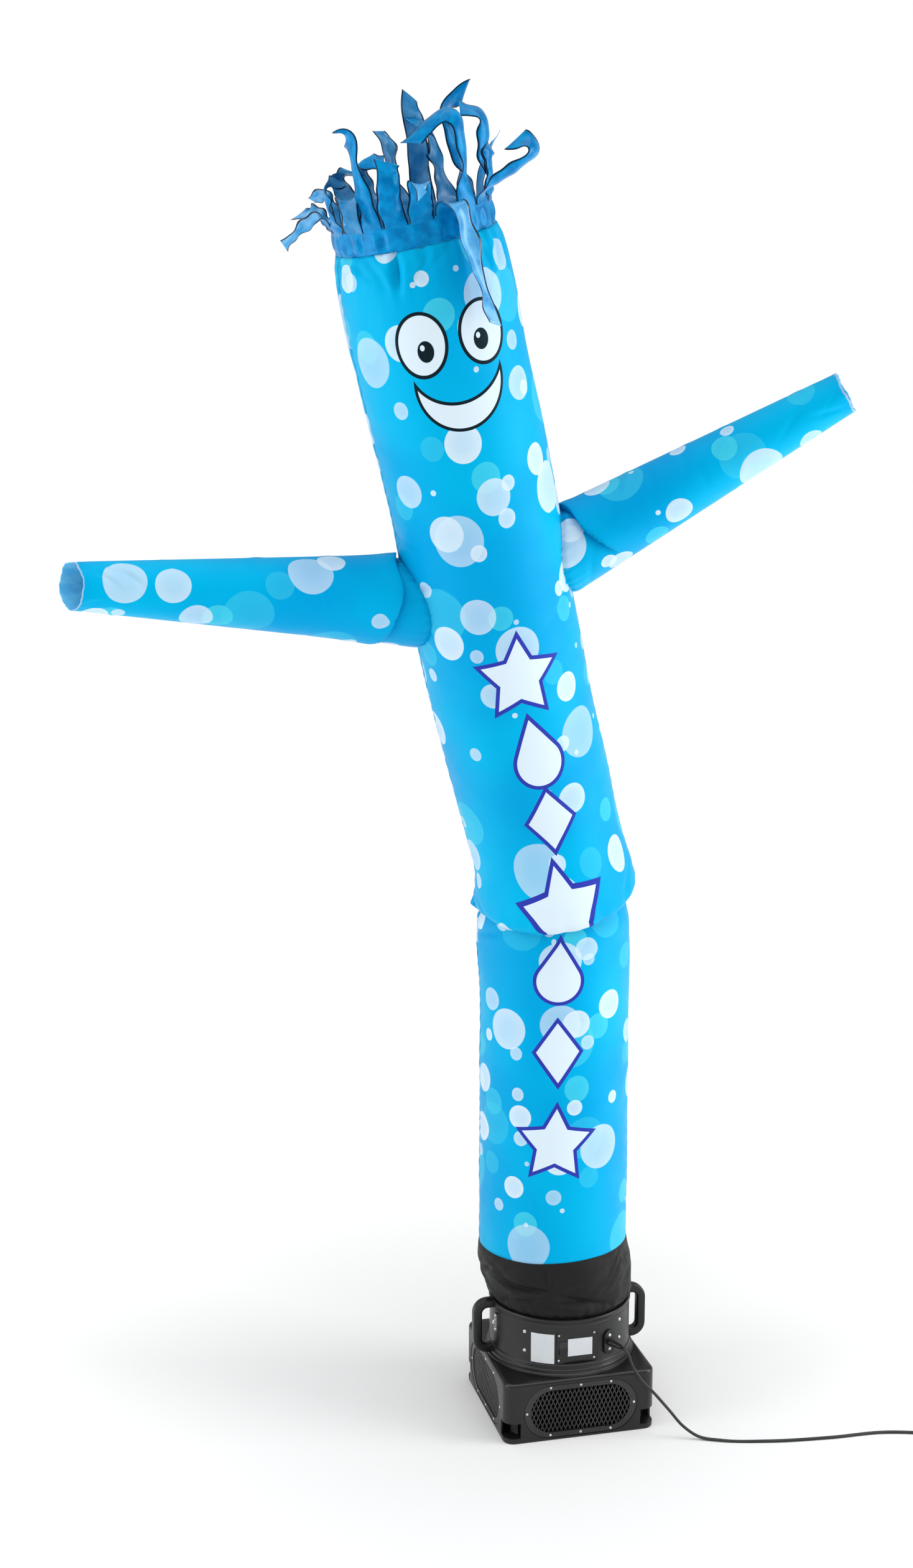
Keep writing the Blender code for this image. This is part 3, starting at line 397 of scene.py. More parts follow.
# The fan chamber behind each intake is unlit, so the pockets' floors and walls get a near-black painted
# shade
shade = moulded("intake_shade", srgb(4, 4, 4), srgb(7, 7, 7), scale=700.0, dull=0.9, bright=0.8,
                depth=0.0002, Specular_IOR_Level=0.03)
housing.data.materials.append(shade)
middles = np.empty(3 * len(housing.data.polygons), np.float32)
housing.data.polygons.foreach_get("center", middles)
middles = middles.reshape(-1, 3)
depth_in = HOUSING_HALF - np.abs(middles[:, :2]).max(axis=1)
# A pocket's walls and floor lie 3 to 19 mm in, and within 51 mm of the intake's middle height
painted_shade_faces = (depth_in > 0.006) & (depth_in < 0.022) & (np.abs(middles[:, 2] - INTAKE_Z) < 0.053)
housing.data.polygons.foreach_set("material_index", painted_shade_faces.astype(np.int32))
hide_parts("blower_base")

# Intake grilles. Oval plates of black painted steel, stamped and stretched into a mesh of
# tall diamonds inside a flat rim, each held in its recess by eight small pan-head screws.
GRILLE_FACE = 0.1656
STRAND_PITCH = (0.0094, 0.0215)
STRAND_OPEN = 0.74
SHEET_GAUGE = 0.0012
# Half the straight run of the mesh's outline, and the reach of its round ends
MESH_STRAIGHT, MESH_END = 0.062, 0.0525
RIM_INNER = (0.220, 0.096)
RIM_OUTER = (0.2495, 0.1175)
painted_steel = moulded("painted_steel", srgb(30, 30, 31), srgb(42, 42, 43), scale=1500.0,
                        dull=0.36, bright=0.28, depth=0.0002, Specular_IOR_Level=0.4)


def diamond_mesh():
    """Flat mesh of diamonds in staggered rows: each cell is a ring of four quads between
    its outer diamond, which touches its neighbours', and the opening within it."""
    across, up = np.meshgrid(np.arange(-25, 26), np.arange(-10, 11), indexing="ij")
    keep = (across + up) % 2 == 0
    centre = np.stack([across[keep] * STRAND_PITCH[0] / 2, up[keep] * STRAND_PITCH[1] / 2], -1)
    reach = np.hypot(np.maximum(np.abs(centre[:, 0]) - MESH_STRAIGHT, 0.0), centre[:, 1])
    centre = centre[reach < MESH_END]
    corners = np.array([(1, 0), (0, 1), (-1, 0), (0, -1)]) * np.array(STRAND_PITCH) / 2
    outer = centre[:, None] + corners
    inner = centre[:, None] + corners * STRAND_OPEN
    flat = np.concatenate([outer, inner], axis=1)
    points = np.stack([flat[..., 0], np.full(flat.shape[:2], -GRILLE_FACE + SHEET_GAUGE),
                       flat[..., 1] + INTAKE_Z], axis=-1).reshape(-1, 3)
    quads = np.array([(k, (k + 1) % 4, (k + 1) % 4 + 4, k + 4) for k in range(4)])
    quads = (quads[None] + 8 * np.arange(len(centre))[:, None, None]).reshape(-1, 4)
    return points, quads


def ring_plate(inner, outer):
    """The quads between two outlines of equal count, flat on the grille's face."""
    points = np.concatenate([
        np.stack([outline[:, 0], np.full(len(outline), -GRILLE_FACE), outline[:, 1] + INTAKE_Z],
                 axis=-1)
        for outline in (outer, inner)])
    count = len(outer)
    step = np.arange(count)
    after = (step + 1) % count
    return points, np.stack([step, after, after + count, step + count], axis=-1)


strands, strand_quads = diamond_mesh()
rim, rim_quads = ring_plate(stadium(*RIM_INNER, 24), stadium(*RIM_OUTER, 24))
for number, side in enumerate(("front", "right", "back", "left")):
    mesh = bpy.data.meshes.new("grille_mesh_" + side)
    points = np.concatenate([strands, rim])
    quarter_turn = Matrix.Rotation(number * math.pi / 2, 4, "Z")
    mesh.from_pydata(points.tolist(), [],
                     strand_quads.tolist() + (rim_quads + len(strands)).tolist())
    mesh.transform(quarter_turn)
    grille = piece("grille_mesh_" + side, mesh, painted_steel, "dancer")
    sheet_metal = grille.modifiers.new("gauge", "SOLIDIFY")
    sheet_metal.thickness = SHEET_GAUGE
    sheet_metal.offset = 0.0
    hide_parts("grille_" + side)

# Outlet collar. A turned-looking drum of the same black plastic, with stepped rings at its
# foot, a groove and a bead at its rim, and an inner neck that the sleeve is tied around.
COLLAR_STEPS = 160
# Outline in mm, up the neck's inside and down the outside: radius, height
COLLAR_OUTLINE = (
    (140.0, 136.3), (140.0, 299.0), (141.0, 300.0), (142.6, 300.0), (143.5, 299.0),
    (143.5, 250.4), (149.3, 250.4), (149.7, 258.0), (150.4, 261.4), (152.0, 262.3),
    (153.8, 261.6), (154.6, 259.6), (154.6, 256.2), (153.9, 254.2), (152.6, 252.8),
    (152.5, 249.4), (152.0, 248.8), (152.0, 247.8), (152.5, 247.2), (152.5, 163.0),
    (153.2, 160.6), (154.9, 159.6), (155.6, 158.2), (155.6, 153.2), (156.4, 150.8),
    (157.9, 149.8), (158.6, 148.2), (158.6, 142.2), (160.4, 140.2), (162.0, 139.4),
    (162.6, 137.6), (162.6, 136.3),
)


def turned_mesh(name, outline, steps):
    """A closed outline of radius and height carried once around the upright axis."""
    outline = np.asarray(outline, float)
    angle = np.arange(steps) * 2 * math.pi / steps
    points = np.stack([outline[None, :, 0] * np.cos(angle)[:, None],
                       outline[None, :, 0] * np.sin(angle)[:, None],
                       np.repeat(outline[None, :, 1], steps, axis=0)], axis=-1)
    return grid_mesh(name, points, around=True, across=True)


collar = piece("collar", turned_mesh("collar", np.array(COLLAR_OUTLINE) * 0.001, COLLAR_STEPS),
               black_plastic, "dancer")
# The switch's recess and the rocker's pocket: width, height, centre along X, centre height,
# floor's Y
COLLAR_CUTS = (
    (0.0910, 0.0700, -0.0035, 0.1975, -0.1440),
    (0.0188, 0.0292, -0.0345, 0.1975, -0.1414),
)
for wide, tall, centre_x, centre_z, floor_y in COLLAR_CUTS:
    outline = np.array([(centre_x + sx * wide / 2, centre_z + sz * tall / 2)
                        for sx, sz in ((-1, -1), (1, -1), (1, 1), (-1, 1))])
    tool = bpy.data.objects.new("collar_cut", prism("collar_cut", outline, CUT_START, floor_y))
    boolean(collar, tool)
collar.data.shade_smooth()
collar.data.set_sharp_from_angle(angle=math.radians(34.0))
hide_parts("outlet_collar")

# Grab handles. Two hollow-moulded bars of soft rectangular section, bent square, that
# leave the collar under its rim and come back at its foot.
HANDLE_REACH = 0.1860
HANDLE_BEND = 0.022
# Height of each run's middle line, and how far out it starts
HANDLE_TOP_Z, HANDLE_TOP_START = 0.2515, 0.1500
HANDLE_FOOT_Z, HANDLE_FOOT_START = 0.1490, 0.1510
HANDLE_HALF_WIDE, HANDLE_HALF_TALL = 0.0114, 0.0098


def swept(name, path, side, half_wide, half_tall, power=0.42, steps=28):
    """A soft rectangular section, a superellipse, carried along a path in one plane."""
    angle = np.arange(steps) * 2 * math.pi / steps
    along = np.gradient(path, axis=0)
    along /= np.linalg.norm(along, axis=1, keepdims=True)
    tall = np.cross(along, side)
    section_x = half_wide * np.sign(np.cos(angle)) * np.abs(np.cos(angle)) ** power
    section_y = half_tall * np.sign(np.sin(angle)) * np.abs(np.sin(angle)) ** power
    points = (path[:, None] + section_x[None, :, None] * np.asarray(side)
              + section_y[None, :, None] * tall[:, None])
    return grid_mesh(name, points, around=True)


bend = np.linspace(0.0, math.pi / 2, 10)
centre_x = HANDLE_REACH - HANDLE_BEND
top_run = np.stack([np.linspace(HANDLE_TOP_START, centre_x, 5)[:-1], np.zeros(4),
                    np.full(4, HANDLE_TOP_Z)], -1)
top_bend = np.stack([centre_x + HANDLE_BEND * np.sin(bend), 0 * bend,
                     HANDLE_TOP_Z - HANDLE_BEND * (1 - np.cos(bend))], -1)
foot_bend = np.stack([centre_x + HANDLE_BEND * np.cos(bend), 0 * bend,
                      HANDLE_FOOT_Z + HANDLE_BEND * (1 - np.sin(bend))], -1)
foot_run = np.stack([np.linspace(centre_x, HANDLE_FOOT_START, 5)[1:], np.zeros(4),
                     np.full(4, HANDLE_FOOT_Z)], -1)
handle_path = np.concatenate([top_run, top_bend, foot_bend, foot_run])
for name, sign in (("right", 1.0), ("left", -1.0)):
    mesh = swept("grip_" + name, handle_path * (sign, 1, 1), (0.0, sign, 0.0),
                 HANDLE_HALF_WIDE, HANDLE_HALF_TALL)
    grip = piece("grip_" + name, mesh, black_plastic, "dancer")
    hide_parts("handle_" + name)

# Plates on the collar. The screwed switch plate is the collar's own plastic and the rocker in
# it a slightly lighter one. The two plates beside them are plain white foil, stuck on, and
# the eye is zinc plated.
white_foil = moulded("white_foil", srgb(206, 209, 211), srgb(196, 200, 204), scale=400.0,
                     dull=0.42, bright=0.34, depth=0.0001)
rocker_plastic = moulded("rocker_plastic", srgb(20, 20, 21), srgb(26, 26, 27), scale=1500.0,
                         dull=0.34, bright=0.26, depth=0.0001)
zinc, tree, shader = finish("zinc", srgb(214, 213, 208), 0.3, Metallic=1.0)
place = put(tree, "TexCoord").outputs["Object"]
cloud = put(tree, "TexNoise", place, None, 380.0, 3.0).outputs[0]
tree.links.new(mix(tree, ramp(tree, cloud, 0.3, 0.7), srgb(226, 225, 221), srgb(180, 179, 174)),
               shader.inputs["Base Color"])
tree.links.new(ramp(tree, cloud, 0.3, 0.7, 0.24, 0.38), shader.inputs["Roughness"])
for node, material in (("switch_plate", black_plastic), ("rocker", rocker_plastic),
                       ("label_plate", white_foil), ("blank_plate", white_foil),
                       ("cord_flange", black_plastic), ("eye_bracket", zinc),
                       ("cord_plug", black_plastic)):
    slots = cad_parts[node].data.materials
    for slot_number in range(len(slots)):
        slots[slot_number] = material
    if not slots:
        slots.append(material)

# Screws. Zinc-plated pan heads with a cross recess, in every plate, grille and wall.
GRILLE_SCREW_SIZE = 0.0028
PLATE_SCREW_SIZE = 0.0024
PLATE_FACE_Y = -0.1470
# A head's sizes as shares of its radius: its grid's rings, its dome and its edge, then its cross
HEAD_RINGS = (0.001, 0.12, 0.24, 0.34, 0.44, 0.54, 0.64, 0.76, 0.86, 0.94, 1.0, 1.0)
DOME_RISE, EDGE_HEIGHT = 0.62, -0.1
CROSS_DEPTH, CROSS_HALF_WIDTH, CROSS_REACH = 0.34, 0.16, 0.60
CROSS_SIDE_SLOPE, CROSS_END_SLOPE = 0.06, 0.08


def screw_heads(name, places):
    """Pan heads on given points and outward directions. Each is a polar grid whose height
    is that of a low dome, less a cross-shaped recess with tapered walls."""
    angle = np.arange(32) * 2 * math.pi / 32
    ring, around = np.meshgrid(HEAD_RINGS, angle, indexing="ij")
    x, y = ring * np.cos(around), ring * np.sin(around)
    arm = np.minimum(np.abs(x), np.abs(y))
    recess = (np.clip((CROSS_HALF_WIDTH - arm) / CROSS_SIDE_SLOPE, 0, 1)
              * np.clip((CROSS_REACH - ring) / CROSS_END_SLOPE, 0, 1))
    height = DOME_RISE * np.sqrt(np.clip(1.02 - ring**2, 0, 1)) - CROSS_DEPTH * recess
    height[-1] = EDGE_HEIGHT
    points, quads = [], []
    count = ring.size
    index = np.arange(count).reshape(ring.shape)
    after = np.roll(index, -1, axis=1)
    cells = np.stack([index[:-1], after[:-1], after[1:], index[1:]], axis=-1).reshape(-1, 4)
    for number, (centre, outward, radius, spin) in enumerate(places):
        outward = np.array(outward) / np.linalg.norm(outward)
        side = np.cross((0.0, 0.0, 1.0), outward)
        side /= np.linalg.norm(side)
        up = np.cross(outward, side)
        flat_x = x * math.cos(spin) - y * math.sin(spin)
        flat_y = x * math.sin(spin) + y * math.cos(spin)
        points.append((np.array(centre) + radius * (flat_x[..., None] * side + flat_y[..., None] * up
                                                    + height[..., None] * outward)).reshape(-1, 3))
        quads.append(cells[:, ::-1] + number * count)
    mesh = bpy.data.meshes.new(name)
    mesh.from_pydata(np.concatenate(points).tolist(), [], np.concatenate(quads).tolist())
    mesh.shade_smooth()
    return piece(name, mesh, zinc, "dancer")


# Along X from the grille's middle, and height
GRILLE_SCREWS = ((-0.119, 0.0655), (0.119, 0.0655), (-0.067, 0.1193), (0.0, 0.1193),
                 (0.067, 0.1193), (-0.067, 0.0117), (0.0, 0.0117), (0.067, 0.0117))
screw_places = []
for number in range(4):
    spun = np.array(Matrix.Rotation(number * math.pi / 2, 3, "Z"))
    for k, (x, z) in enumerate(GRILLE_SCREWS):
        screw_places.append((spun @ (x, -GRILLE_FACE - 0.0004, z), spun @ (0.0, -1.0, 0.0),
                             GRILLE_SCREW_SIZE, 0.7 * k + number))
screw_heads("grille_screws", screw_places)
# Azimuth in degrees from the blower's face, height, radius of the wall, size of the head
WALL_SCREWS = (
    (-45.5, 0.2263, 0.1525, 0.0043), (-45.5, 0.1836, 0.1525, 0.0043),
    (41.0, 0.2346, 0.1525, 0.0040), (41.0, 0.1936, 0.1525, 0.0040),
    (135.0, 0.2300, 0.1525, 0.0043), (135.0, 0.1880, 0.1525, 0.0043),
    (-135.0, 0.2300, 0.1525, 0.0043), (-135.0, 0.1880, 0.1525, 0.0043),
    (26.9, 0.2125, 0.1568, 0.0038), (26.9, 0.1815, 0.1568, 0.0038),
    (-80.0, 0.2315, 0.1549, 0.0030), (-80.0, 0.2005, 0.1549, 0.0030),
)
# The switch plate's four, along X and height
PLATE_SCREWS = ((-0.0445, 0.2265), (-0.0445, 0.1700), (0.0340, 0.1695), (0.0340, 0.2265))
wall_places = []
for k, (azimuth, height, radius, size) in enumerate(WALL_SCREWS):
    out = np.array([math.sin(math.radians(azimuth)), -math.cos(math.radians(azimuth)), 0.0])
    wall_places.append((out * radius + (0, 0, height), out, size, 0.5 + 0.9 * k))
for k, (x, z) in enumerate(PLATE_SCREWS):
    wall_places.append(((x, PLATE_FACE_Y, z), (0.0, -1.0, 0.0), PLATE_SCREW_SIZE, 0.4 + k))
screw_heads("wall_screws", wall_places)

# Mains lead. A round black rubber lead that leaves its ribbed sleeve, hangs to the floor and
# runs away to the right; its stored length lies in a neat coil there, beside its plug.
LEAD_RADIUS = 0.00325
COIL_CENTRE = np.array([0.850, -0.118])
COIL_OUTER = 0.03925
COIL_INNER = 0.03270
LAYER_LOW = 0.0035
LAYER_STEP = 0.00656
# How much wider the lead comes in than the coil's outer turns
LEAD_IN = 0.00685
# Angles in degrees at which the lead moves in, climbs, and moves out again, and how long each
# takes; the coil starts at its near side and ends three and a quarter turns on
COIL_START, COIL_END = -90.0, 1080.0
MOVE_IN, CLIMB, MOVE_OUT = (205.0, 65.0), (565.0, 65.0), (860.0, 100.0)
# Route in the dancer's frame, from the sleeve's tip to the coil: x, y, z
LEAD_ROUTE = (
    (0.1278, -0.1471, 0.1970), (0.1370, -0.1560, 0.1920), (0.1480, -0.1610, 0.1640),
    (0.1670, -0.1620, 0.1330), (0.1970, -0.1640, 0.1000), (0.2280, -0.1670, 0.0640),
    (0.2600, -0.1700, 0.0270), (0.2900, -0.1750, 0.0080), (0.3390, -0.1840, 0.0035),
    (0.4380, -0.1870, 0.0035), (0.5740, -0.1710, 0.0035), (0.6970, -0.1480, 0.0035),
    (0.7640, -0.1510, 0.0035), (0.8100, -0.1600, 0.0035), (0.8500, -0.1641, 0.0035),
)


def hermite(knots, values, at):
    """Smooth curve through values at their knots, with the slopes of their neighbours."""
    knots, values = np.asarray(knots, float), np.asarray(values, float)
    slopes = np.gradient(values, knots)
    low = np.clip(np.searchsorted(knots, at, side="right") - 1, 0, len(knots) - 2)
    span = knots[low + 1] - knots[low]
    t = (at - knots[low]) / span
    rise = 3 * t**2 - 2 * t**3
    return (values[low] * (1 - rise) + values[low + 1] * rise
            + slopes[low] * span * (t**3 - 2 * t**2 + t) + slopes[low + 1] * span * (t**3 - t**2))


def smooth(value):
    """Rises from 0 to 1 with no kink at either end: 3 t squared less 2 t cubed."""
    value = np.clip(value, 0.0, 1.0)
    return value * value * (3.0 - 2.0 * value)


def lead_path():
    """The route's smooth curve, then three and a quarter turns: outer and inner on the
    floor, inner and outer on top of those, riding over where they cross."""
    route = np.array(LEAD_ROUTE)
    travel = np.r_[0.0, np.cumsum(np.linalg.norm(np.diff(route, axis=0), axis=1))]
    run = np.stack([hermite(travel, route[:, axis], np.linspace(0, travel[-1], 90))
                    for axis in range(3)], axis=-1)
    a = np.linspace(COIL_START, COIL_END, 150)[1:]

    def done(move):
        return smooth((a - move[0]) / move[1])

    gap = COIL_OUTER - COIL_INNER
    radius = (COIL_OUTER + LEAD_IN * (1 - done((COIL_START, 100.0)))
              - gap * done(MOVE_IN) + gap * done(MOVE_OUT))
    beside = gap * (1 - done(CLIMB))
    ride = np.sqrt(np.maximum(LAYER_STEP**2 - beside**2, 0.0))
    height = LAYER_LOW + np.where(a < CLIMB[0], 0.0, ride)
    coil = np.stack([COIL_CENTRE[0] + radius * np.cos(np.radians(a)),
                     COIL_CENTRE[1] + radius * np.sin(np.radians(a)), height], axis=-1)
    tail = coil[-1] + np.array([(0.0, y, 0.0) for y in (0.008, 0.016, 0.0236)])
    return np.concatenate([run, coil, tail]) @ turn.T


def round_tube(name, path, radius, steps=12):
    """A circle of points carried along a path, with closed ends. Each section's side
    direction is square to the path and to the upright."""
    along = np.gradient(path, axis=0)
    along /= np.linalg.norm(along, axis=1, keepdims=True)
    side = np.cross(along, (0.0, 0.0, 1.0))
    side /= np.linalg.norm(side, axis=1, keepdims=True)
    up = np.cross(side, along)
    radius = np.broadcast_to(radius, len(path))
    radius = np.r_[0.0002, radius, 0.0002]
    path, side, up = (np.concatenate([v[:1], v, v[-1:]]) for v in (path, side, up))
    angle = np.arange(steps) * 2 * math.pi / steps
    points = path[:, None] + radius[:, None, None] * (np.cos(angle)[:, None] * side[:, None]
                                                      + np.sin(angle)[:, None] * up[:, None])
    return grid_mesh(name, points[:, ::-1], around=True)


black_rubber = moulded("black_rubber", srgb(22, 22, 22), srgb(33, 33, 32), scale=1200.0,
                       dull=0.55, bright=0.45, depth=0.0002)
centreline = lead_path()
lead = piece("mains_lead", round_tube("mains_lead", centreline, LEAD_RADIUS), black_rubber,
             "dancer")
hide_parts("cord_lead", "cord_coil")

# Sleeve at the foot. Plain black nylon, sewn to the printed tube above and gathered inside
# the collar's rim. It is baggy, so it sags in soft creases across, over a ring of small gathers.
FOOT_CENTRE = (-0.017, 0.000)
# The sleeve's top and the tube's foot stand this much higher per metre to the viewer's right
FOOT_TILT = 0.05
FOOT_RADIUS = 0.159
SLEEVE_RADIUS = 0.16
SLEEVE_LOW, SLEEVE_HIGH, SLEEVE_SEAM = 0.256, 0.3925, 0.3912
# Height and spread of the gathers where the sleeve is tied, and their size
TIE_Z, TIE_SPREAD, TIE_DEPTH = 0.276, 0.012, 0.0011
CLOTH_THICK = 0.0008
# Height, radius, size of the soft folds
SKIRT_PROFILE = (
    (0.3925, 0.1588, 0.0000), (0.3850, 0.1606, 0.0006), (0.3720, 0.1622, 0.0020),
    (0.3500, 0.1650, 0.0042), (0.3260, 0.1642, 0.0052), (0.3020, 0.1612, 0.0050),
    (0.2860, 0.1590, 0.0030), (0.2730, 0.1552, 0.0010), (0.2665, 0.1488, 0.0003),
    (0.2560, 0.1462, 0.0000),
)


def sine(tree, along, pitch):
    """The sine of a distance, with one wave to each pitch."""
    return sums(tree, "SINE", sums(tree, "MULTIPLY", along, 2 * math.pi / pitch))


weave, entry, leave = group(
    "nylon_weave",
    [("Place", "Vector", None), ("Pitch", "Float", 0.0008), ("Pucker", "Float", 60.0)],
    [("Height", "Float"), ("Soft", "Float")])
split = put(weave, "SeparateXYZ", entry["Place"]).outputs
turns = sums(weave, "DIVIDE", 2 * math.pi, entry["Pitch"])
warp = sums(weave, "SINE", sums(weave, "MULTIPLY", split[0], turns))
weft = sums(weave, "SINE", sums(weave, "MULTIPLY", split[1], turns))
weave.links.new(sums(weave, "MULTIPLY", warp, weft), leave["Height"])
soft = put(weave, "TexNoise", entry["Place"], None, entry["Pucker"], 3.0).outputs[0]
weave.links.new(soft, leave["Soft"])


def ridges(seed, count, low, high, length, width, depth):
    """Rows of random soft creases from one seeded draw, for crease_field: each value is even
    between its two limits, and the slope is spread about level."""
    draw = np.random.default_rng(seed)
    return np.column_stack([
        draw.uniform(-180.0, 180.0, count), draw.uniform(low, high, count),
        draw.normal(0.0, 20.0, count), draw.uniform(*length, count),
        draw.uniform(*width, count), draw.uniform(*depth, count)])


def crease_field(azimuth, height, creases, radius):
    """Sum of soft creases on a wall. A row holds azimuth in degrees, height, slope in degrees,
    length, width and depth; a crease is its depth times two bells, along it and across it."""
    total = np.zeros(np.broadcast(azimuth, height).shape)
    for degrees, level, slope, length, width, depth in creases:
        across = (np.mod(azimuth - math.radians(degrees) + math.pi, 2 * math.pi) - math.pi) * radius
        up = height - level
        lean, rise = math.cos(math.radians(slope)), math.sin(math.radians(slope))
        total += depth * np.exp(-((across * lean + up * rise) / length) ** 2
                                - ((up * lean - across * rise) / width) ** 2)
    return total


table = np.array(SKIRT_PROFILE)[::-1]
level = np.linspace(SLEEVE_LOW, SLEEVE_HIGH, 84)[:, None]
azimuth = (np.arange(300) * 2 * math.pi / 300)[None, :]
wave = (np.sin(5 * azimuth + 14.0 * level) + 0.6 * np.sin(3 * azimuth - 50.0 * level)
        + 0.35 * np.sin(13 * azimuth - 30.0 * level))
loose = hermite(table[:, 0], table[:, 2], level)
# Random soft creases, then listed folds: azimuth, height, slope, length, width, depth
SKIRT_CREASES = np.concatenate([ridges(11, 18, 0.285, 0.368, (0.03, 0.08), (0.007, 0.012),
                                       (-0.006, 0.005)), [
    (-27.0, 0.334, -5.0, 0.060, 0.006, -0.009), (-25.0, 0.319, -8.0, 0.050, 0.007, 0.008),
    (-29.0, 0.302, 16.0, 0.045, 0.006, -0.008), (45.0, 0.335, 32.0, 0.055, 0.006, -0.009),
    (38.0, 0.322, 30.0, 0.050, 0.008, 0.008), (-7.0, 0.368, 88.0, 0.024, 0.004, -0.006),
    (50.0, 0.362, 38.0, 0.035, 0.005, -0.006), (18.0, 0.303, -16.0, 0.050, 0.006, -0.008),
    (8.0, 0.288, -10.0, 0.060, 0.006, 0.006), (-70.0, 0.345, 20.0, 0.045, 0.007, -0.009),
    (78.0, 0.350, -24.0, 0.040, 0.007, -0.008), (-48.0, 0.290, 30.0, 0.040, 0.006, -0.006),
]])
creased = crease_field(azimuth, level, SKIRT_CREASES, SLEEVE_RADIUS) * np.clip(loose / 0.004, 0, 1)
tied = TIE_DEPTH * (np.cos(31 * azimuth) + 0.7 * np.cos(47 * azimuth + 1.0))
out = (hermite(table[:, 0], table[:, 1], level) + 0.55 * loose * wave + creased
       + tied * np.exp(-((level - TIE_Z) / TIE_SPREAD) ** 2))
share = smooth((level - SLEEVE_LOW) / (SLEEVE_SEAM - SLEEVE_LOW))
skirt_points = np.stack([
    FOOT_CENTRE[0] * share + out * np.sin(azimuth),
    FOOT_CENTRE[1] * share - out * np.cos(azimuth),
    level + FOOT_TILT * FOOT_RADIUS * share * np.sin(azimuth)], axis=-1) @ turn.T
flat = np.stack(np.broadcast_arrays(azimuth * SLEEVE_RADIUS, level), axis=-1)
black_nylon, tree, shader = finish("black_nylon", srgb(10, 10, 11), 0.6, Sheen_Weight=0.03,
                                   Specular_IOR_Level=0.22)
place = put(tree, "UVMap", uv_map="flat").outputs[0]
woven = use(tree, weave, Place=place, Pitch=0.0009, Pucker=55.0)
tree.links.new(ramp(tree, woven["Soft"], 0.3, 0.7, 0.52, 0.7), shader.inputs["Roughness"])
tree.links.new(mix(tree, ramp(tree, woven["Soft"], 0.3, 0.7), srgb(8, 8, 9), srgb(15, 15, 16)),
               shader.inputs["Base Color"])
raised = sums(tree, "MULTIPLY_ADD", woven["Height"], 0.12, woven["Soft"])
relief(tree, shader, raised, 0.7, 0.0006)
sleeve = piece("foot_sleeve", grid_mesh("foot_sleeve", skirt_points, around=True, uv=flat),
               black_nylon, "dancer")


def cloth(made, thickness, lining=0):
    """Gives a cloth surface its thickness, inwards, and a material of its own inside."""
    solid = made.modifiers.new("thickness", "SOLIDIFY")
    solid.thickness = thickness
    solid.offset = -1.0
    solid.material_offset = lining
    solid.material_offset_rim = lining


cloth(sleeve, CLOTH_THICK)
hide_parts("skirt")

# Printed tube. Two long panels of satin nylon, printed by dye transfer and sewn together
# down both sides. The fan's air fills it; it leans to the viewer's left and towards the
# viewer, and its front folds over once at the waist, where a lip hangs over a deep tuck.
# Height, sideways, depth, radius in the dancer's frame
SPINE = np.array((
    (0.390, -0.017, 0.000, 0.1590), (0.750, -0.017, 0.000, 0.1590),
    (1.100, -0.020, 0.000, 0.1590), (1.150, -0.022, -0.004, 0.1590),
    (1.200, -0.030, -0.014, 0.1590), (1.350, -0.057, -0.045, 0.1597),
    (1.570, -0.110, -0.105, 0.1608), (1.800, -0.158, -0.170, 0.1618),
    (2.030, -0.201, -0.235, 0.1627), (2.250, -0.252, -0.287, 0.1635),
    (2.480, -0.300, -0.327, 0.1635),
))
# Height on the middle line, drop and push of the folded side, and how much the ring narrows
TUBE_RINGS = np.array((
    (0.3915, 0.000, 0.000, 0.00), (0.600, 0.000, 0.000, 0.00), (0.900, 0.000, 0.000, 0.00),
    (1.060, 0.000, 0.001, 0.00), (1.114, 0.000, -0.002, 0.00), (1.139, 0.000, -0.013, 0.00),
    (1.155, -0.004, -0.027, 0.00), (1.169, -0.008, -0.044, 0.00), (1.177, 0.002, -0.048, 0.00),
    (1.186, 0.026, -0.022, 0.00), (1.195, 0.048, 0.016, 0.00), (1.205, 0.049, 0.030, 0.00),
    (1.223, 0.034, 0.028, 0.00), (1.266, 0.012, 0.012, 0.00), (1.322, 0.000, 0.002, 0.00),
    (1.410, 0.000, 0.000, 0.00), (1.710, 0.000, 0.000, 0.00), (2.010, 0.000, 0.000, 0.00),
    (2.250, 0.000, 0.000, 0.00), (2.400, 0.000, 0.000, 0.000), (2.435, 0.000, 0.000, 0.012),
    (2.460, 0.000, 0.000, 0.035), (2.480, 0.000, 0.000, 0.080),
))
FOLD_AZIMUTH = math.radians(15.0)
FRONT_TURN_LOW = math.radians(2.0)
FRONT_TURN_HIGH = math.radians(16.0)
# The fold dies away a little past the sides, where the cosine from its middle is minus this
FOLD_SPREAD = 0.22
FOLD_Z = 1.188
# Size of the gathers at the head and at the fold, and how far up and down they reach
HEAD_GATHER, FOLD_GATHER = (0.0022, 0.035), (0.0022, 0.028)
# Depth and width of the dip along a seam and of the puckers beside it, and the puckers' pitch
SEAM_DIP, SEAM_PUCKER, PUCKER_PITCH = (0.0022, 0.006), (0.0012, 0.014), 0.027
PRINT_RADIUS = 0.161
# The seams run a quarter turn to each side of a panel's middle. Each panel stops short of them
# by a small angle, in radians.
SEAM_AZIMUTH = math.pi / 2
SEAM_GAP = 0.00125


